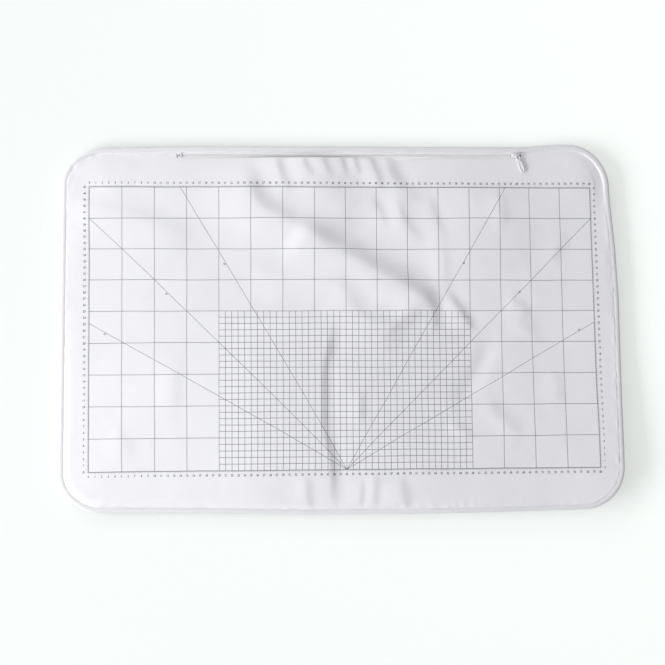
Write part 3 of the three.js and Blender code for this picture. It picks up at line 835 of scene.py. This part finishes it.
def soften_piping(piece):
    """Moves the run-round strip to the real outline, and gives its tube hand-made unevenness."""
    x, y, z = points_of(piece.data).T
    inset = inset_of(x, y)
    round_angle = np.arctan2(z - piping_height, piping_radius - inset)
    along = way_round(x, y)
    keep_attribute(piece.data, "thread_place", np.stack([along, round_angle * piping_radius, 0 * x], 1))
    on_tube = np.hypot(z - piping_height, inset - piping_radius) < piping_radius * 1.15
    twill = np.array([noise.noise((s / twill_size, a * twill_turn, 4.2)) for s, a in zip(along, round_angle)])
    slow = np.array([noise.noise((s / slow_size, 0.3, 7.7)) for s in along])
    grow = np.where(on_tube, 1 + (twill_swell * twill + slow_swell * slow), 1)
    step = 0.01 * mm
    outwards_x = inset_of(x - step, y) - inset_of(x + step, y)
    outwards_y = inset_of(x, y - step) - inset_of(x, y + step)
    size = np.maximum(np.hypot(outwards_x, outwards_y), 1e-12)
    push = np.where(on_tube, (grow - 1) * (piping_radius - inset), 0)
    x, y = x + outwards_x / size * push, y + outwards_y / size * push
    z = piping_height + (z - piping_height) * grow * piping_squash
    z = np.maximum(z, 0) + raised(x, y)
    x, y = wander(x, y)
    move_points(piece.data, np.stack([x, y, z], 1))


def clear_slot(piece, depth):
    """Takes a piece's inner faces out where the zip's tape is sewn in instead."""
    work = bmesh.new()
    work.from_mesh(piece.data)
    inner = [face for face in work.faces
             if slot_left < face.calc_center_median().x < slot_right and face.calc_center_median().y > 0
             and inset_of(face.calc_center_median().x, face.calc_center_median().y) > depth]
    bmesh.ops.delete(work, geom=inner, context="FACES")
    work.to_mesh(piece.data)
    work.free()


soften_piping(piping)
clear_slot(piping, 2 * piping_radius)
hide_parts("piping_strip")
report(piping)

# %% The cord in the strip
cord_radius = 4 * mm
cord_plies, cord_lay, cord_squash, ply_height = 1.5, 7 * mm, 0.62, 0.08
cord_turns = np.linspace(0, 2 * math.pi, 13)[:-1]
cord_section = [(piping_radius + cord_radius * math.cos(turn), piping_height + cord_radius * math.sin(turn))
                for turn in cord_turns]
cord_round = run_round(cord_section, step=6 * mm, corner_steps=16, closed=True)
filler_cord = finished_piece("filler_cord", cord_round)
x, y, z = points_of(filler_cord.data).T
ply = np.arctan2(z - piping_height, inset_of(x, y) - piping_radius)
twist = np.abs(np.cos(cord_plies * ply + way_round(x, y) / cord_lay))
z = piping_height + (z - piping_height) * (cord_squash + ply_height * twist) + raised(x, y)
move_points(filler_cord.data, np.stack([*wander(x, y), z], 1))
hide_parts("piping_cord")
report(filler_cord)

# %% [markdown]
# ## The underside
#
# The bottom panel is plain cotton. It lies flat on the table, so nearly all of it is at height zero, and
# round its edge it rolls up to the same seam as the top. A few long, very shallow wrinkles lift off the table
# here and there, as they do on a cover that has been washed.

# %% Bottom panel


def panel_blank(inset, step):
    """A flat grid in the pad's outline, trimmed at a distance from the edge."""
    wide, deep = half_length - inset, half_depth - inset
    work = slid_grid(np.linspace(-wide, wide, round(2 * wide / step) + 1),
                     np.linspace(-deep, deep, round(2 * deep / step) + 1))
    round_corners(work, inset)
    return work


bottom_insets = [seam_inset + step * mm for step in (8.9, 6.7, 4.9, 3.5, 2.4, 1.5, 0.8, 0.3, 0)]
bottom_roll, roll_height, roll_power = 8.1 * mm, 4.9, 2.1
wrinkle_stretch, wrinkle_least, wrinkle_height, gather_rise = 0.35, 0.18, 1.3, 0.3
bottom_flat = panel_blank(bottom_insets[0], 5.5 * mm)
extrude_to_seam(bottom_flat, bottom_insets)
bmesh.ops.reverse_faces(bottom_flat, faces=bottom_flat.faces)
bottom_panel = finished_piece("bottom_panel", bottom_flat)
points = points_of(bottom_panel.data)
keep_attribute(bottom_panel.data, "thread_place", points)
x, y, _ = points.T
rolled = np.clip((seam_inset + bottom_roll - inset_of(x, y)) / bottom_roll, 0, 1)
wrinkle = np.maximum(soft_noise(x * wrinkle_stretch, y, 48 * mm, 1.4) - wrinkle_least, 0)
gather = soft_noise(x + y, y - x, 12 * mm, 9.1) * (rolled > 0) * (1 - rolled)
z = (roll_height * rolled ** roll_power + wrinkle * wrinkle_height + gather_rise * gather) * mm
move_points(bottom_panel.data, np.stack([*wander(x, y), np.maximum(z, 0) + raised(x, y)], 1))
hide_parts("bottom_cover")
report(bottom_panel)

# %% [markdown]
# ## The filling
#
# Foam is cut from a block, so its slab has square edges that the cover squeezes round. The wadding on top of
# it is a loose fleece that fills out the middle. Nobody sees either while the cover is shut, but they give
# the pad its thickness, and the zip is there to take them out before the cover is washed.

# %% Foam slab and wadding


def filled_slab(name, insets, height_at, low, step):
    """A closed slab: an uneven top, sides that follow the insets, and a level underside."""
    work = panel_blank(insets[0], step)
    extrude_to_seam(work, insets)
    lower = list(work.verts)
    upper = points_in(bmesh.ops.extrude_face_region(work, geom=work.faces[:])["geom"])
    for points, level_at in ((upper, height_at), (lower, lambda x, y: low)):
        x, y, _ = np.array([point.co for point in points]).T
        for point, place in zip(points, np.stack([*wander(x, y), level_at(x, y) + raised(x, y)], 1)):
            point.co = place
    bmesh.ops.recalc_face_normals(work, faces=work.faces)
    print(name, "is closed:", all(edge.is_manifold for edge in work.edges))
    return finished_piece(name, work)


foam_low, foam_thick = 0.9 * mm, 8.9 * mm
foam_edge, foam_edge_width = 16 * mm, 18 * mm
foam_shares = [0, 0.06, 0.22, 0.55, 1], [0.05, 0.26, 0.5, 0.72, 1]
wadding_low, wadding_below, wadding_uneven = 10.1 * mm, 2 * mm, 0.25


def pressed_down(x, y):
    """How far the folds press the padding down. Where they stand up, it stays as it is."""
    return np.minimum(fold_lift(*cloth_place(x, y)), 0)


def foam_height(x, y):
    inside = np.clip((inset_of(x, y) - foam_edge) / foam_edge_width, 0, 1)
    rounded = np.interp(inside, *foam_shares)
    return foam_low + foam_thick * rounded + pressed_down(x, y) * rounded


def wadding_height(x, y):
    """The crown less the wadding's distance from the cotton."""
    uneven = soft_noise(x, y, 26 * mm, 4.9) * wadding_uneven * mm
    return crown_height(inset_of(x, y), x, y) - wadding_below + pressed_down(x, y) + uneven


foam_insets = [34 * mm, 29 * mm, 25 * mm, 21.5 * mm, 19 * mm, 17.3 * mm, 16.3 * mm]
foam_slab = filled_slab("foam_slab", foam_insets, foam_height, foam_low, step=14 * mm)
wadding_layer = filled_slab("wadding_layer", [52 * mm], wadding_height, wadding_low, step=8 * mm)
for piece, node, slot_name, fill in ((foam_slab, "foam_core", "white_foam", 1),
                                     (wadding_layer, "wadding", "white_wadding", 0.3)):
    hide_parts(node)
    report(piece)

# %% [markdown]
# ## The zip
#
# Two woven tapes carry two coils of nylon thread. Each coil is a flattened helix, and the turns of one sit
# between the turns of the other. A helix is one spin of the thread's section with a shift at every step,
# squeezed flat afterwards; five turns are spun, and an array repeats them along the tape, round a core that
# fills the coil. The tapes are chains of points drawn across the pad and extruded along it. Beyond the clamp
# at the zip's left end their inner edges are drawn together, as they are where the real ones are sewn in.

# %% Zip tapes
tape_left, tape_right = slot_left + 0.3 * mm, slot_right - 0.3 * mm
tape_places = [tape_left, tape_left + 1.8 * mm, *np.linspace(tape_left + 3.6 * mm, tape_right, 138)]
drawn_share, drawn_from, drawn_to, drawn_rows = 0.83, 1.8 * mm, 4 * mm, (1.4 * mm, 3.4 * mm)
under_coil = [(1.45, 0.55), (2, 0.3), (2.6, 0.05), (3.2, 0)]
near_tape_line = [(zip_line - offset * mm, zip_height - drop * mm)
                  for offset, drop in [*under_coil, (4.6, 0), (6.4, 0), (8.4, 0), (10.3, 0)]]
far_fold = zip_line + 4.7 * mm
far_tape_line = [(zip_line + offset * mm, zip_height - drop * mm) for offset, drop in under_coil]
far_tape_line += [(far_fold + reach * mm, zip_height - drop * mm)
                  for reach, drop in ((-1, 0), (-0.4, 0), (0, 0.05), (0.24, 0.36), (0.2, 0.85), (-0.1, 1.8),
                                      (-0.2, 3.2), (-1.2, 5))]


def make_tape(name, line):
    work = bmesh.new()
    chain = [work.verts.new((tape_left, y, z)) for y, z in line]
    front = [work.edges.new(pair) for pair in zip(chain, chain[1:])]
    for step in np.diff(tape_places):
        made = bmesh.ops.extrude_edge_only(work, edges=front)["geom"]
        moved = points_in(made)
        bmesh.ops.translate(work, verts=moved, vec=(step, 0, 0))
        front = [edge for edge in edges_in(made) if all(point in moved for point in edge.verts)]
    bmesh.ops.recalc_face_normals(work, faces=work.faces)
    tape = finished_piece(name, work)
    points = points_of(tape.data)
    points[:, 2] += soft_noise(points[:, 0], points[:, 1], 14 * mm, 3.3) * 0.08 * mm
    from_line = points[:, 1] - zip_line
    drawn_together = 1 - smooth_step(points[:, 0], tape_left + drawn_from, tape_left + drawn_to)
    at_inner_edge = 1 - smooth_step(np.abs(from_line), *drawn_rows)
    points[:, 1] -= drawn_share * from_line * drawn_together * at_inner_edge
    move_points(tape.data, points)
    thickness = tape.modifiers.new("cloth thickness", "SOLIDIFY")
    thickness.thickness, thickness.offset = 0.45 * mm, 0
    return report(tape)


tape_near = make_tape("tape_near", near_tape_line)
tape_far = make_tape("tape_far", far_tape_line)
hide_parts("zip_tape_near")
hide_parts("zip_tape_far")

# %% Nylon coils
coil_left, coil_right = -252 * mm, 284.2 * mm
coil_pitch = 1.6 * mm
coil_turns = 5
coil_steps = 9
thread_radius = 0.3 * mm
core_radius, core_shift = 0.78 * mm, 0.22 * mm
coil_reach_in, coil_reach_out, coil_half_height = 0.85 * mm, 2 * mm, 1 * mm


def upright_circle(work, segments, radius, place):
    """A circle that faces along the tape."""
    points = bmesh.ops.create_circle(work, segments=segments, radius=radius,
                                     matrix=Matrix.Rotation(math.pi / 2, 4, "Y"))["verts"]
    bmesh.ops.translate(work, verts=points, vec=place)
    return points


def make_coil(name, side, start):
    radius = (coil_reach_in + coil_reach_out) / 2 - thread_radius
    work = bmesh.new()
    upright_circle(work, 5, thread_radius, (coil_left + start, -side * radius, 0))
    bmesh.ops.spin(work, geom=list(work.edges), cent=(0, 0, 0), axis=(1, 0, 0),
                   angle=2 * math.pi * coil_turns, steps=coil_turns * coil_steps,
                   dvec=(coil_pitch / coil_steps, 0, 0), use_merge=False)
    core = upright_circle(work, 8, core_radius, (coil_left + start, side * core_shift, 0))
    rim = [edge for edge in work.edges if all(point in core for point in edge.verts)]
    made = bmesh.ops.extrude_edge_only(work, edges=rim)["geom"]
    bmesh.ops.translate(work, verts=points_in(made), vec=(coil_pitch * coil_turns, 0, 0))
    bmesh.ops.recalc_face_normals(work, faces=work.faces)
    middle = (coil_reach_out - coil_reach_in) / 2
    flatten = (coil_half_height - thread_radius) / radius
    for point in work.verts:
        point.co.z = zip_height + point.co.z * flatten
        point.co.y = zip_line + side * middle + point.co.y
    coil = finished_piece(name, work)
    row = coil.modifiers.new("along the tape", "ARRAY")
    row.use_relative_offset, row.use_constant_offset = False, True
    row.constant_offset_displace = (coil_pitch * coil_turns, 0, 0)
    row.count = math.floor((coil_right - coil_left - start) / (coil_pitch * coil_turns))
    row.use_merge_vertices, row.merge_threshold = True, 0.01 * mm
    return report(coil)


coil_far = make_coil("coil_far", 1, 0.3 * mm)
coil_near = make_coil("coil_near", -1, 0.3 * mm + coil_pitch / 2)
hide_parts("zip_coil_far")
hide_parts("zip_coil_near")

# %% Stitches
stitch_step, stitch_length, stitch_half = 3 * mm, 2.5 * mm, 0.2 * mm


def sew_row(name, start, end, height_of):
    """A row of stitches from one point of the pad to another, each a plump little loop of thread."""
    start, end = np.array(start), np.array(end)
    way = end - start
    turn = Matrix.Rotation(math.atan2(way[1], way[0]), 4, "Z")
    shape = Matrix.Diagonal((stitch_length / 2, stitch_half, stitch_half, 1))
    work = bmesh.new()
    for number in range(int(np.hypot(*way) / stitch_step)):
        x, y = start + way * (number + 0.5) * stitch_step / np.hypot(*way)
        place = Matrix.Translation((x, y, height_of(x, y)))
        bmesh.ops.create_uvsphere(work, u_segments=6, v_segments=5, radius=1, matrix=place @ turn @ shape)
    row = finished_piece(name, work)
    return report(row)


lip_row, tape_row = slot_near - 2.6 * mm, far_fold - 0.5 * mm
sew_row("lip_stitches", (slot_left + mm, lip_row), (slot_right - mm, lip_row),
        lambda x, y: panel_top(x, y) + 0.3 * stitch_half)
sew_row("tape_stitches", (tape_left + mm, tape_row), (tape_right - mm, tape_row),
        lambda x, y: zip_height + 0.26 * mm)

# %% [markdown]
# ## Slider, link, pull and stops
#
# The CAD solids of these are right, down to the slider's forked channel. Die-cast and pressed parts never
# have knife edges, though, so each is copied, its loose triangles are joined into whole faces, and its edges
# are bevelled by an eighth to a quarter of a millimetre. The copy then stands for the node.

# %% Softened metal pieces
flat_turn, sharp_turn = math.radians(2), math.radians(38)


def softened(name, node, edge, body):
    work = bmesh.new()
    work.from_mesh(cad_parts[node].data)
    bmesh.ops.remove_doubles(work, verts=work.verts, dist=0.002 * mm)
    bmesh.ops.dissolve_limit(work, angle_limit=flat_turn, verts=work.verts, edges=work.edges)
    sharp = [item for item in work.edges if item.is_manifold and item.calc_face_angle() > sharp_turn]
    bmesh.ops.bevel(work, geom=sharp, offset=edge, offset_type="OFFSET", affect="EDGES", segments=3,
                    profile=0.5, material=-1, clamp_overlap=True, loop_slide=False)
    piece = finished_piece(name, work, body)
    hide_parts(node)
    return report(piece)


softened("slider", "zip_slider", 0.16 * mm, "slider")
softened("link", "zip_link", 0.12 * mm, "link")
softened("pull_tab", "zip_pull", 0.12 * mm, "pull")
for node in ("top_stop_far", "top_stop_near", "bottom_stop"):
    softened(node.replace("stop", "clamp"), node, 0.25 * mm, "pad")

# %% [markdown]
# ## Shader effects that several finishes share
#
# Woven cotton, uneven colour and handling marks turn up in more than one finish, so each is a node group with
# its own inputs. The weave is two sines: where their product is positive the warp lies on top, elsewhere the
# weft. It also gives a mask of the gaps between the threads, where the cotton's colour is darkened as painted
# shade. A group only gives heights and colours. The shader itself stays in the material.

# %% Node helpers


def add(tree, kind, **settings):
    node = tree.nodes.new(kind)
    for name, value in settings.items():
        setattr(node, name, value)
    return node


def feed(tree, socket, value):
    """Links an output, or sets a plain value."""
    if isinstance(value, bpy.types.NodeSocket):
        tree.links.new(value, socket)
    else:
        socket.default_value = value


def math_node(tree, operation, *values):
    node = add(tree, "ShaderNodeMath", operation=operation)
    for socket, value in zip(node.inputs, values):
        feed(tree, socket, value)
    return node.outputs[0]


def mix_colors(tree, factor, first, second, blend_type="MIX"):
    node = add(tree, "ShaderNodeMix", data_type="RGBA", blend_type=blend_type)
    for socket, value in (("Factor", factor), (6, first), (7, second)):
        feed(tree, node.inputs[socket], value)
    return node.outputs[2]


def noise_clouds(tree, place, size, detail):
    """A noise texture with clouds about as wide as size."""
    node = add(tree, "ShaderNodeTexNoise")
    feed(tree, node.inputs["Vector"], place)
    feed(tree, node.inputs["Scale"], math_node(tree, "DIVIDE", 1, size))
    node.inputs["Detail"].default_value = detail
    return node


def new_group(name, inputs, outputs):
    tree = bpy.data.node_groups.new(name, "ShaderNodeTree")
    for socket_name, kind, value in inputs:
        socket = tree.interface.new_socket(socket_name, in_out="INPUT", socket_type=kind)
        if value is not None:
            socket.default_value = value
    for socket_name, kind in outputs:
        tree.interface.new_socket(socket_name, in_out="OUTPUT", socket_type=kind)
    return tree, tree.nodes.new("NodeGroupInput").outputs, tree.nodes.new("NodeGroupOutput").inputs


def place_group(tree, group, **values):
    node = add(tree, "ShaderNodeGroup", node_tree=group)
    for name, value in values.items():
        feed(tree, node.inputs[name.replace("_", " ")], value)
    return node.outputs


# %% Weave group
weave_group, entry, leave = new_group(
    "plain_weave", [("Place", "NodeSocketVector", None), ("Thread", "NodeSocketFloat", 0.0005)],
    [("Height", "NodeSocketFloat"), ("Gap shade", "NodeSocketFloat")])


def in_weave(operation, *values):
    return math_node(weave_group, operation, *values)


scaled = add(weave_group, "ShaderNodeVectorMath", operation="SCALE")
feed(weave_group, scaled.inputs[0], entry["Place"])
feed(weave_group, scaled.inputs["Scale"], in_weave("DIVIDE", math.pi, entry["Thread"]))
split = add(weave_group, "ShaderNodeSeparateXYZ")
feed(weave_group, split.inputs[0], scaled.outputs[0])
across, along = [in_weave("SINE", split.outputs[axis]) for axis in (0, 1)]
round_across, round_along = [in_weave("ABSOLUTE", value) for value in (across, along)]
crown_mix = add(weave_group, "ShaderNodeMix", data_type="FLOAT")
warp_on_top = in_weave("GREATER_THAN", in_weave("MULTIPLY", across, along), 0)
feed(weave_group, crown_mix.inputs["Factor"], warp_on_top)
for socket, thread_round, thread_way in ((2, round_along, round_across), (3, round_across, round_along)):
    swell = in_weave("MULTIPLY_ADD", thread_way, 0.4, 0.6)
    feed(weave_group, crown_mix.inputs[socket], in_weave("MULTIPLY", in_weave("SQRT", thread_round), swell))
feed(weave_group, leave["Height"], crown_mix.outputs[0])
# The gap mask, used to paint shade between the threads into the cotton's colour.
feed(weave_group, leave["Gap shade"], in_weave("POWER", in_weave("SUBTRACT", 1, crown_mix.outputs[0]), 3))
print("weave group with", len(weave_group.nodes), "nodes")

# %% Unevenness and handling groups
uneven_group, entry, leave = new_group(
    "uneven", [("Place", "NodeSocketVector", None), ("Size", "NodeSocketFloat", 0.04),
               ("Amount", "NodeSocketFloat", 0.03), ("Color", "NodeSocketColor", (0.8, 0.8, 0.8, 1)),
               ("Other color", "NodeSocketColor", (0.7, 0.7, 0.7, 1))],
    [("Color", "NodeSocketColor")])
cloud = noise_clouds(uneven_group, entry["Place"], entry["Size"], 3).outputs["Fac"]
share = math_node(uneven_group, "MULTIPLY", cloud, entry["Amount"])
feed(uneven_group, leave["Color"], mix_colors(uneven_group, share, entry["Color"], entry["Other color"]))

handling_group, entry, leave = new_group(
    "handling_marks", [("Place", "NodeSocketVector", None), ("Size", "NodeSocketFloat", 0.002),
                       ("Low", "NodeSocketFloat", 0.3), ("High", "NodeSocketFloat", 0.5)],
    [("Roughness", "NodeSocketFloat"), ("Height", "NodeSocketFloat")])
scuffs = noise_clouds(handling_group, entry["Place"], entry["Size"], 5)
scuffs.inputs["Roughness"].default_value = 0.65
spread = add(handling_group, "ShaderNodeMapRange")
for socket, value in (("Value", scuffs.outputs["Fac"]), ("From Min", 0.3), ("From Max", 0.7),
                      ("To Min", entry["Low"]), ("To Max", entry["High"])):
    feed(handling_group, spread.inputs[socket], value)
feed(handling_group, leave["Roughness"], spread.outputs["Result"])
feed(handling_group, leave["Height"], scuffs.outputs["Fac"])
print("groups:", [group.name for group in bpy.data.node_groups])

# %% [markdown]
# ## The finishes
#
# Cotton is matt, with a fine weave that only shows close up and a little unevenness that shows from afar. The
# thread's own coordinates carry the weave, so it bends with the folds, and on the piping it runs at 45
# degrees, because that strip is cut on the bias. The piping's cotton is painted a little darker than the
# panel's, as painted shade that keeps the lamp-facing side of its raised strip from turning white. Ink sinks
# into the weave, so it is a dull grey with the same bump.

# %% Cloth finishes
thread_spacing = 0.42 * mm


def start_material(name, roughness, **sockets):
    made = bpy.data.materials.new(name)
    made.use_nodes = True
    tree = made.node_tree
    shader = tree.nodes["Principled BSDF"]
    shader.inputs["Roughness"].default_value = roughness
    for socket, value in sockets.items():
        shader.inputs[socket.replace("_", " ")].default_value = value
    return made, tree, shader


def own_place(tree, attribute, turn=0.0):
    """The piece's own thread coordinates or the object's, turned about Z."""
    if attribute:
        source = add(tree, "ShaderNodeAttribute", attribute_name=attribute).outputs["Vector"]
    else:
        source = add(tree, "ShaderNodeTexCoord").outputs["Object"]
    mapping = add(tree, "ShaderNodeMapping")
    mapping.inputs["Rotation"].default_value = (0, 0, turn)
    feed(tree, mapping.inputs["Vector"], source)
    return mapping.outputs[0]


def bump(tree, shader, height, distance):
    node = add(tree, "ShaderNodeBump")
    node.inputs["Distance"].default_value = distance
    feed(tree, node.inputs["Height"], height)
    feed(tree, shader.inputs["Normal"], node.outputs[0])


def two_tone(tree, place, size, amount, color, shade):
    """A colour that wanders between two shades."""
    return place_group(tree, uneven_group, Place=place, Size=size, Amount=amount, Color=(*color, 1),
                       Other_color=(*shade, 1))["Color"]


def cotton(name, color, shade, attribute="thread_place", turn=0.0, thread=thread_spacing, depth=0.07 * mm,
           roughness=0.88):
    made, tree, shader = start_material(name, roughness, Sheen_Weight=0.12, Sheen_Roughness=0.5,
                                        Specular_IOR_Level=0.25)
    place = own_place(tree, attribute, turn)
    weave = place_group(tree, weave_group, Place=place, Thread=thread)
    # Painted shade: the colour is darkened in the weave's gaps, where the threads shade each other.
    painted_gap_shade = mix_colors(tree, math_node(tree, "MULTIPLY", weave["Gap shade"], 0.35),
                              two_tone(tree, place, 0.03, 0.5, color, shade), (0.6, 0.6, 0.62, 1), "MULTIPLY")
    feed(tree, shader.inputs["Base Color"], painted_gap_shade)
    bump(tree, shader, weave["Height"], depth)
    return made


printed_cotton = cotton("cotton_top", (0.82, 0.82, 0.845), (0.79, 0.79, 0.815))
grid_ink = cotton("grid_ink", (0.1, 0.1, 0.11), (0.16, 0.16, 0.175), roughness=0.8)
ruler_ink = cotton("ruler_ink", (0.08, 0.08, 0.09), (0.14, 0.14, 0.155), attribute=None, roughness=0.8)
plain_cotton = cotton("cotton_underside", (0.8, 0.8, 0.82), (0.77, 0.77, 0.79))
# Painted shade: the piping's cotton is darker than the panel's, so that its lit side does not clip to white.
darkened_bias_cotton = cotton("cotton_bias", (0.76, 0.76, 0.78), (0.73, 0.73, 0.75), turn=math.radians(45))
zip_twill = cotton("zip_tape_weave", (0.87, 0.87, 0.88), (0.84, 0.84, 0.85), attribute=None,
                   turn=math.radians(30), thread=0.55 * mm, depth=0.1 * mm)
sewing_thread = cotton("sewing_thread", (0.86, 0.86, 0.87), (0.82, 0.82, 0.83), attribute=None,
                       turn=math.radians(25), thread=0.25 * mm, roughness=0.6)
cord_cotton = cotton("cord_cotton", (0.72, 0.7, 0.64), (0.64, 0.61, 0.55), attribute=None, thread=0.8 * mm)
print("threads", round(thread_spacing / mm, 2), "mm apart")

# %% Foam, wadding, nylon, enamel and pressed metal


def foam(name, color, shade, cell, depth):
    made, tree, shader = start_material(name, 0.95, Specular_IOR_Level=0.2)
    place = own_place(tree, None)
    cells = add(tree, "ShaderNodeTexVoronoi")
    feed(tree, cells.inputs["Vector"], place)
    cells.inputs["Scale"].default_value = 1 / cell
    feed(tree, shader.inputs["Base Color"], two_tone(tree, place, 0.02, 0.8, color, shade))
    bump(tree, shader, cells.outputs["Distance"], depth)
    return made


def smooth_finish(name, color, shade, roughness, size, depth, **sockets):
    made, tree, shader = start_material(name, 0.4, **sockets)
    place = own_place(tree, None)
    marks = place_group(tree, handling_group, Place=place, Size=size, Low=roughness[0], High=roughness[1])
    feed(tree, shader.inputs["Base Color"], two_tone(tree, place, 2 * size, 0.7, color, shade))
    feed(tree, shader.inputs["Roughness"], marks["Roughness"])
    bump(tree, shader, marks["Height"], depth)
    return made


white_foam = foam("slab_foam", (0.82, 0.79, 0.7), (0.74, 0.7, 0.6), 0.9 * mm, 0.3 * mm)
white_wadding = foam("fleece_wadding", (0.87, 0.86, 0.83), (0.8, 0.79, 0.76), 3 * mm, 0.6 * mm)
zip_nylon = smooth_finish("coil_nylon", (0.88, 0.88, 0.88), (0.84, 0.84, 0.84), (0.32, 0.5), 1.5 * mm,
                          0.01 * mm)
white_enamel = smooth_finish("white_enamel", (0.78, 0.78, 0.79), (0.68, 0.68, 0.69), (0.22, 0.42), 1.2 * mm,
                             0.012 * mm, Coat_Weight=0.3, Coat_Roughness=0.15)
stop_metal = smooth_finish("pressed_metal", (0.72, 0.72, 0.74), (0.58, 0.58, 0.6), (0.25, 0.45), 0.8 * mm,
                           0.01 * mm, Metallic=1.0)
print(len(bpy.data.materials), "materials so far")

# %% A finish for every piece
finishes = {"top_panel": (printed_cotton, grid_ink), "ruler_print": (ruler_ink,), "piping": (darkened_bias_cotton,),
            "filler_cord": (cord_cotton,), "bottom_panel": (plain_cotton,), "foam_slab": (white_foam,),
            "wadding_layer": (white_wadding,), "tape_near": (zip_twill,), "tape_far": (zip_twill,),
            "coil_far": (zip_nylon,), "coil_near": (zip_nylon,), "lip_stitches": (sewing_thread,),
            "tape_stitches": (sewing_thread,), "slider": (white_enamel,), "link": (white_enamel,),
            "pull_tab": (white_enamel,), "top_clamp_far": (stop_metal,), "top_clamp_near": (stop_metal,),
            "bottom_clamp": (stop_metal,)}
for name, materials in finishes.items():
    mesh = bpy.data.objects[name].data
    mesh.materials.clear()
    for material in materials:
        mesh.materials.append(material)
hem_faces = len(top_panel.data.polygons) - len(ink)
top_panel.data.polygons.foreach_set("material_index", np.pad(ink.astype(np.int32), (0, hem_faces)))
print(len(finishes), "pieces finished")

# %% [markdown]
# ## Floor and light
#
# The pad lies on a white table. A long soft lamp stands to the left and a little to the near side, low enough
# to rake over the folds, and a weak one on the far side lifts the zipped edge. A pale world fills the shade.
# The floor has to look white to the camera without more light on the pad, so it glows a little for camera,
# glossy and transmission rays only. The glow grows to the right, where less lamp light arrives. The floor
# still darkens where the pad shades it. The world is white to the same rays, so a view from the side has a
# white sky too.

# %% Floor
floor_work = bmesh.new()
bmesh.ops.create_grid(floor_work, x_segments=1, y_segments=1, size=6)
bmesh.ops.translate(floor_work, verts=floor_work.verts, vec=(0, 0, -0.3 * mm))
floor_mesh = bpy.data.meshes.new("floor")
floor_work.to_mesh(floor_mesh)
floor_work.free()
floor = in_scene("floor", floor_mesh)
floor_white, tree, shader = start_material("table_white", 0.9, Specular_IOR_Level=0.0)
shader.inputs["Base Color"].default_value = (0.6, 0.62, 0.62, 1)


def seen_rays(tree):
    """1 for what the camera sees, straight or in a gloss or through glass, and 0 for light on its way."""
    rays = add(tree, "ShaderNodeLightPath").outputs
    return math_node(tree, "MAXIMUM", rays["Is Camera Ray"],
                     math_node(tree, "MAXIMUM", rays["Is Glossy Ray"], rays["Is Transmission Ray"]))


glow_left, glow_right = -0.9, 1.6
glow_middle, glow_slope, glow_bend, glow_lean = 0.383, 0.223, -0.062, 0.021
shader.inputs["Emission Color"].default_value = (0.965, 1, 0.94, 1)
table_place = add(tree, "ShaderNodeSeparateXYZ")
feed(tree, table_place.inputs[0], add(tree, "ShaderNodeTexCoord").outputs["Object"])
to_right = math_node(tree, "MAXIMUM", table_place.outputs[0], glow_left)
to_right = math_node(tree, "MINIMUM", to_right, glow_right)
slope = math_node(tree, "MULTIPLY_ADD", to_right, glow_bend, glow_slope)
lean = math_node(tree, "MULTIPLY_ADD", table_place.outputs[1], glow_lean, glow_middle)
glow = math_node(tree, "ADD", math_node(tree, "MULTIPLY", to_right, slope), lean)
feed(tree, shader.inputs["Emission Strength"], math_node(tree, "MULTIPLY", seen_rays(tree), glow))
floor_mesh.materials.append(floor_white)
print("the table glows", glow_middle, "at the pad's middle")

# %% Lamps and world


def soft_lamp(name, place, wide, high, power):
    """A rectangular lamp that faces the middle of the pad."""
    data = bpy.data.lights.new(name, "AREA")
    data.shape, data.size, data.size_y, data.energy = "RECTANGLE", wide, high, power
    lamp = in_scene(name, data)
    lamp.location = place
    lamp.rotation_euler = (-Vector(place)).to_track_quat("-Z", "Y").to_euler()
    print(name, power, "W,", round(Vector(place).length, 2), "m from the pad")


soft_lamp("left_softbox", (-3.35, -0.84, 1.25), 3.8, 1.05, 208)
soft_lamp("far_softbox", (-1.75, 3, 1.45), 1.8, 0.8, 30)
sky_fill = 0.467
world = bpy.data.worlds.new("studio")
world.use_nodes = True
tree = world.node_tree
sky = tree.nodes["Background"]
sky.inputs["Color"].default_value = (0.97, 0.97, 1, 1)
feed(tree, sky.inputs["Strength"], math_node(tree, "MAXIMUM", seen_rays(tree), sky_fill))
bpy.context.scene.world = world
bpy.context.scene.view_settings.view_transform = "Standard"
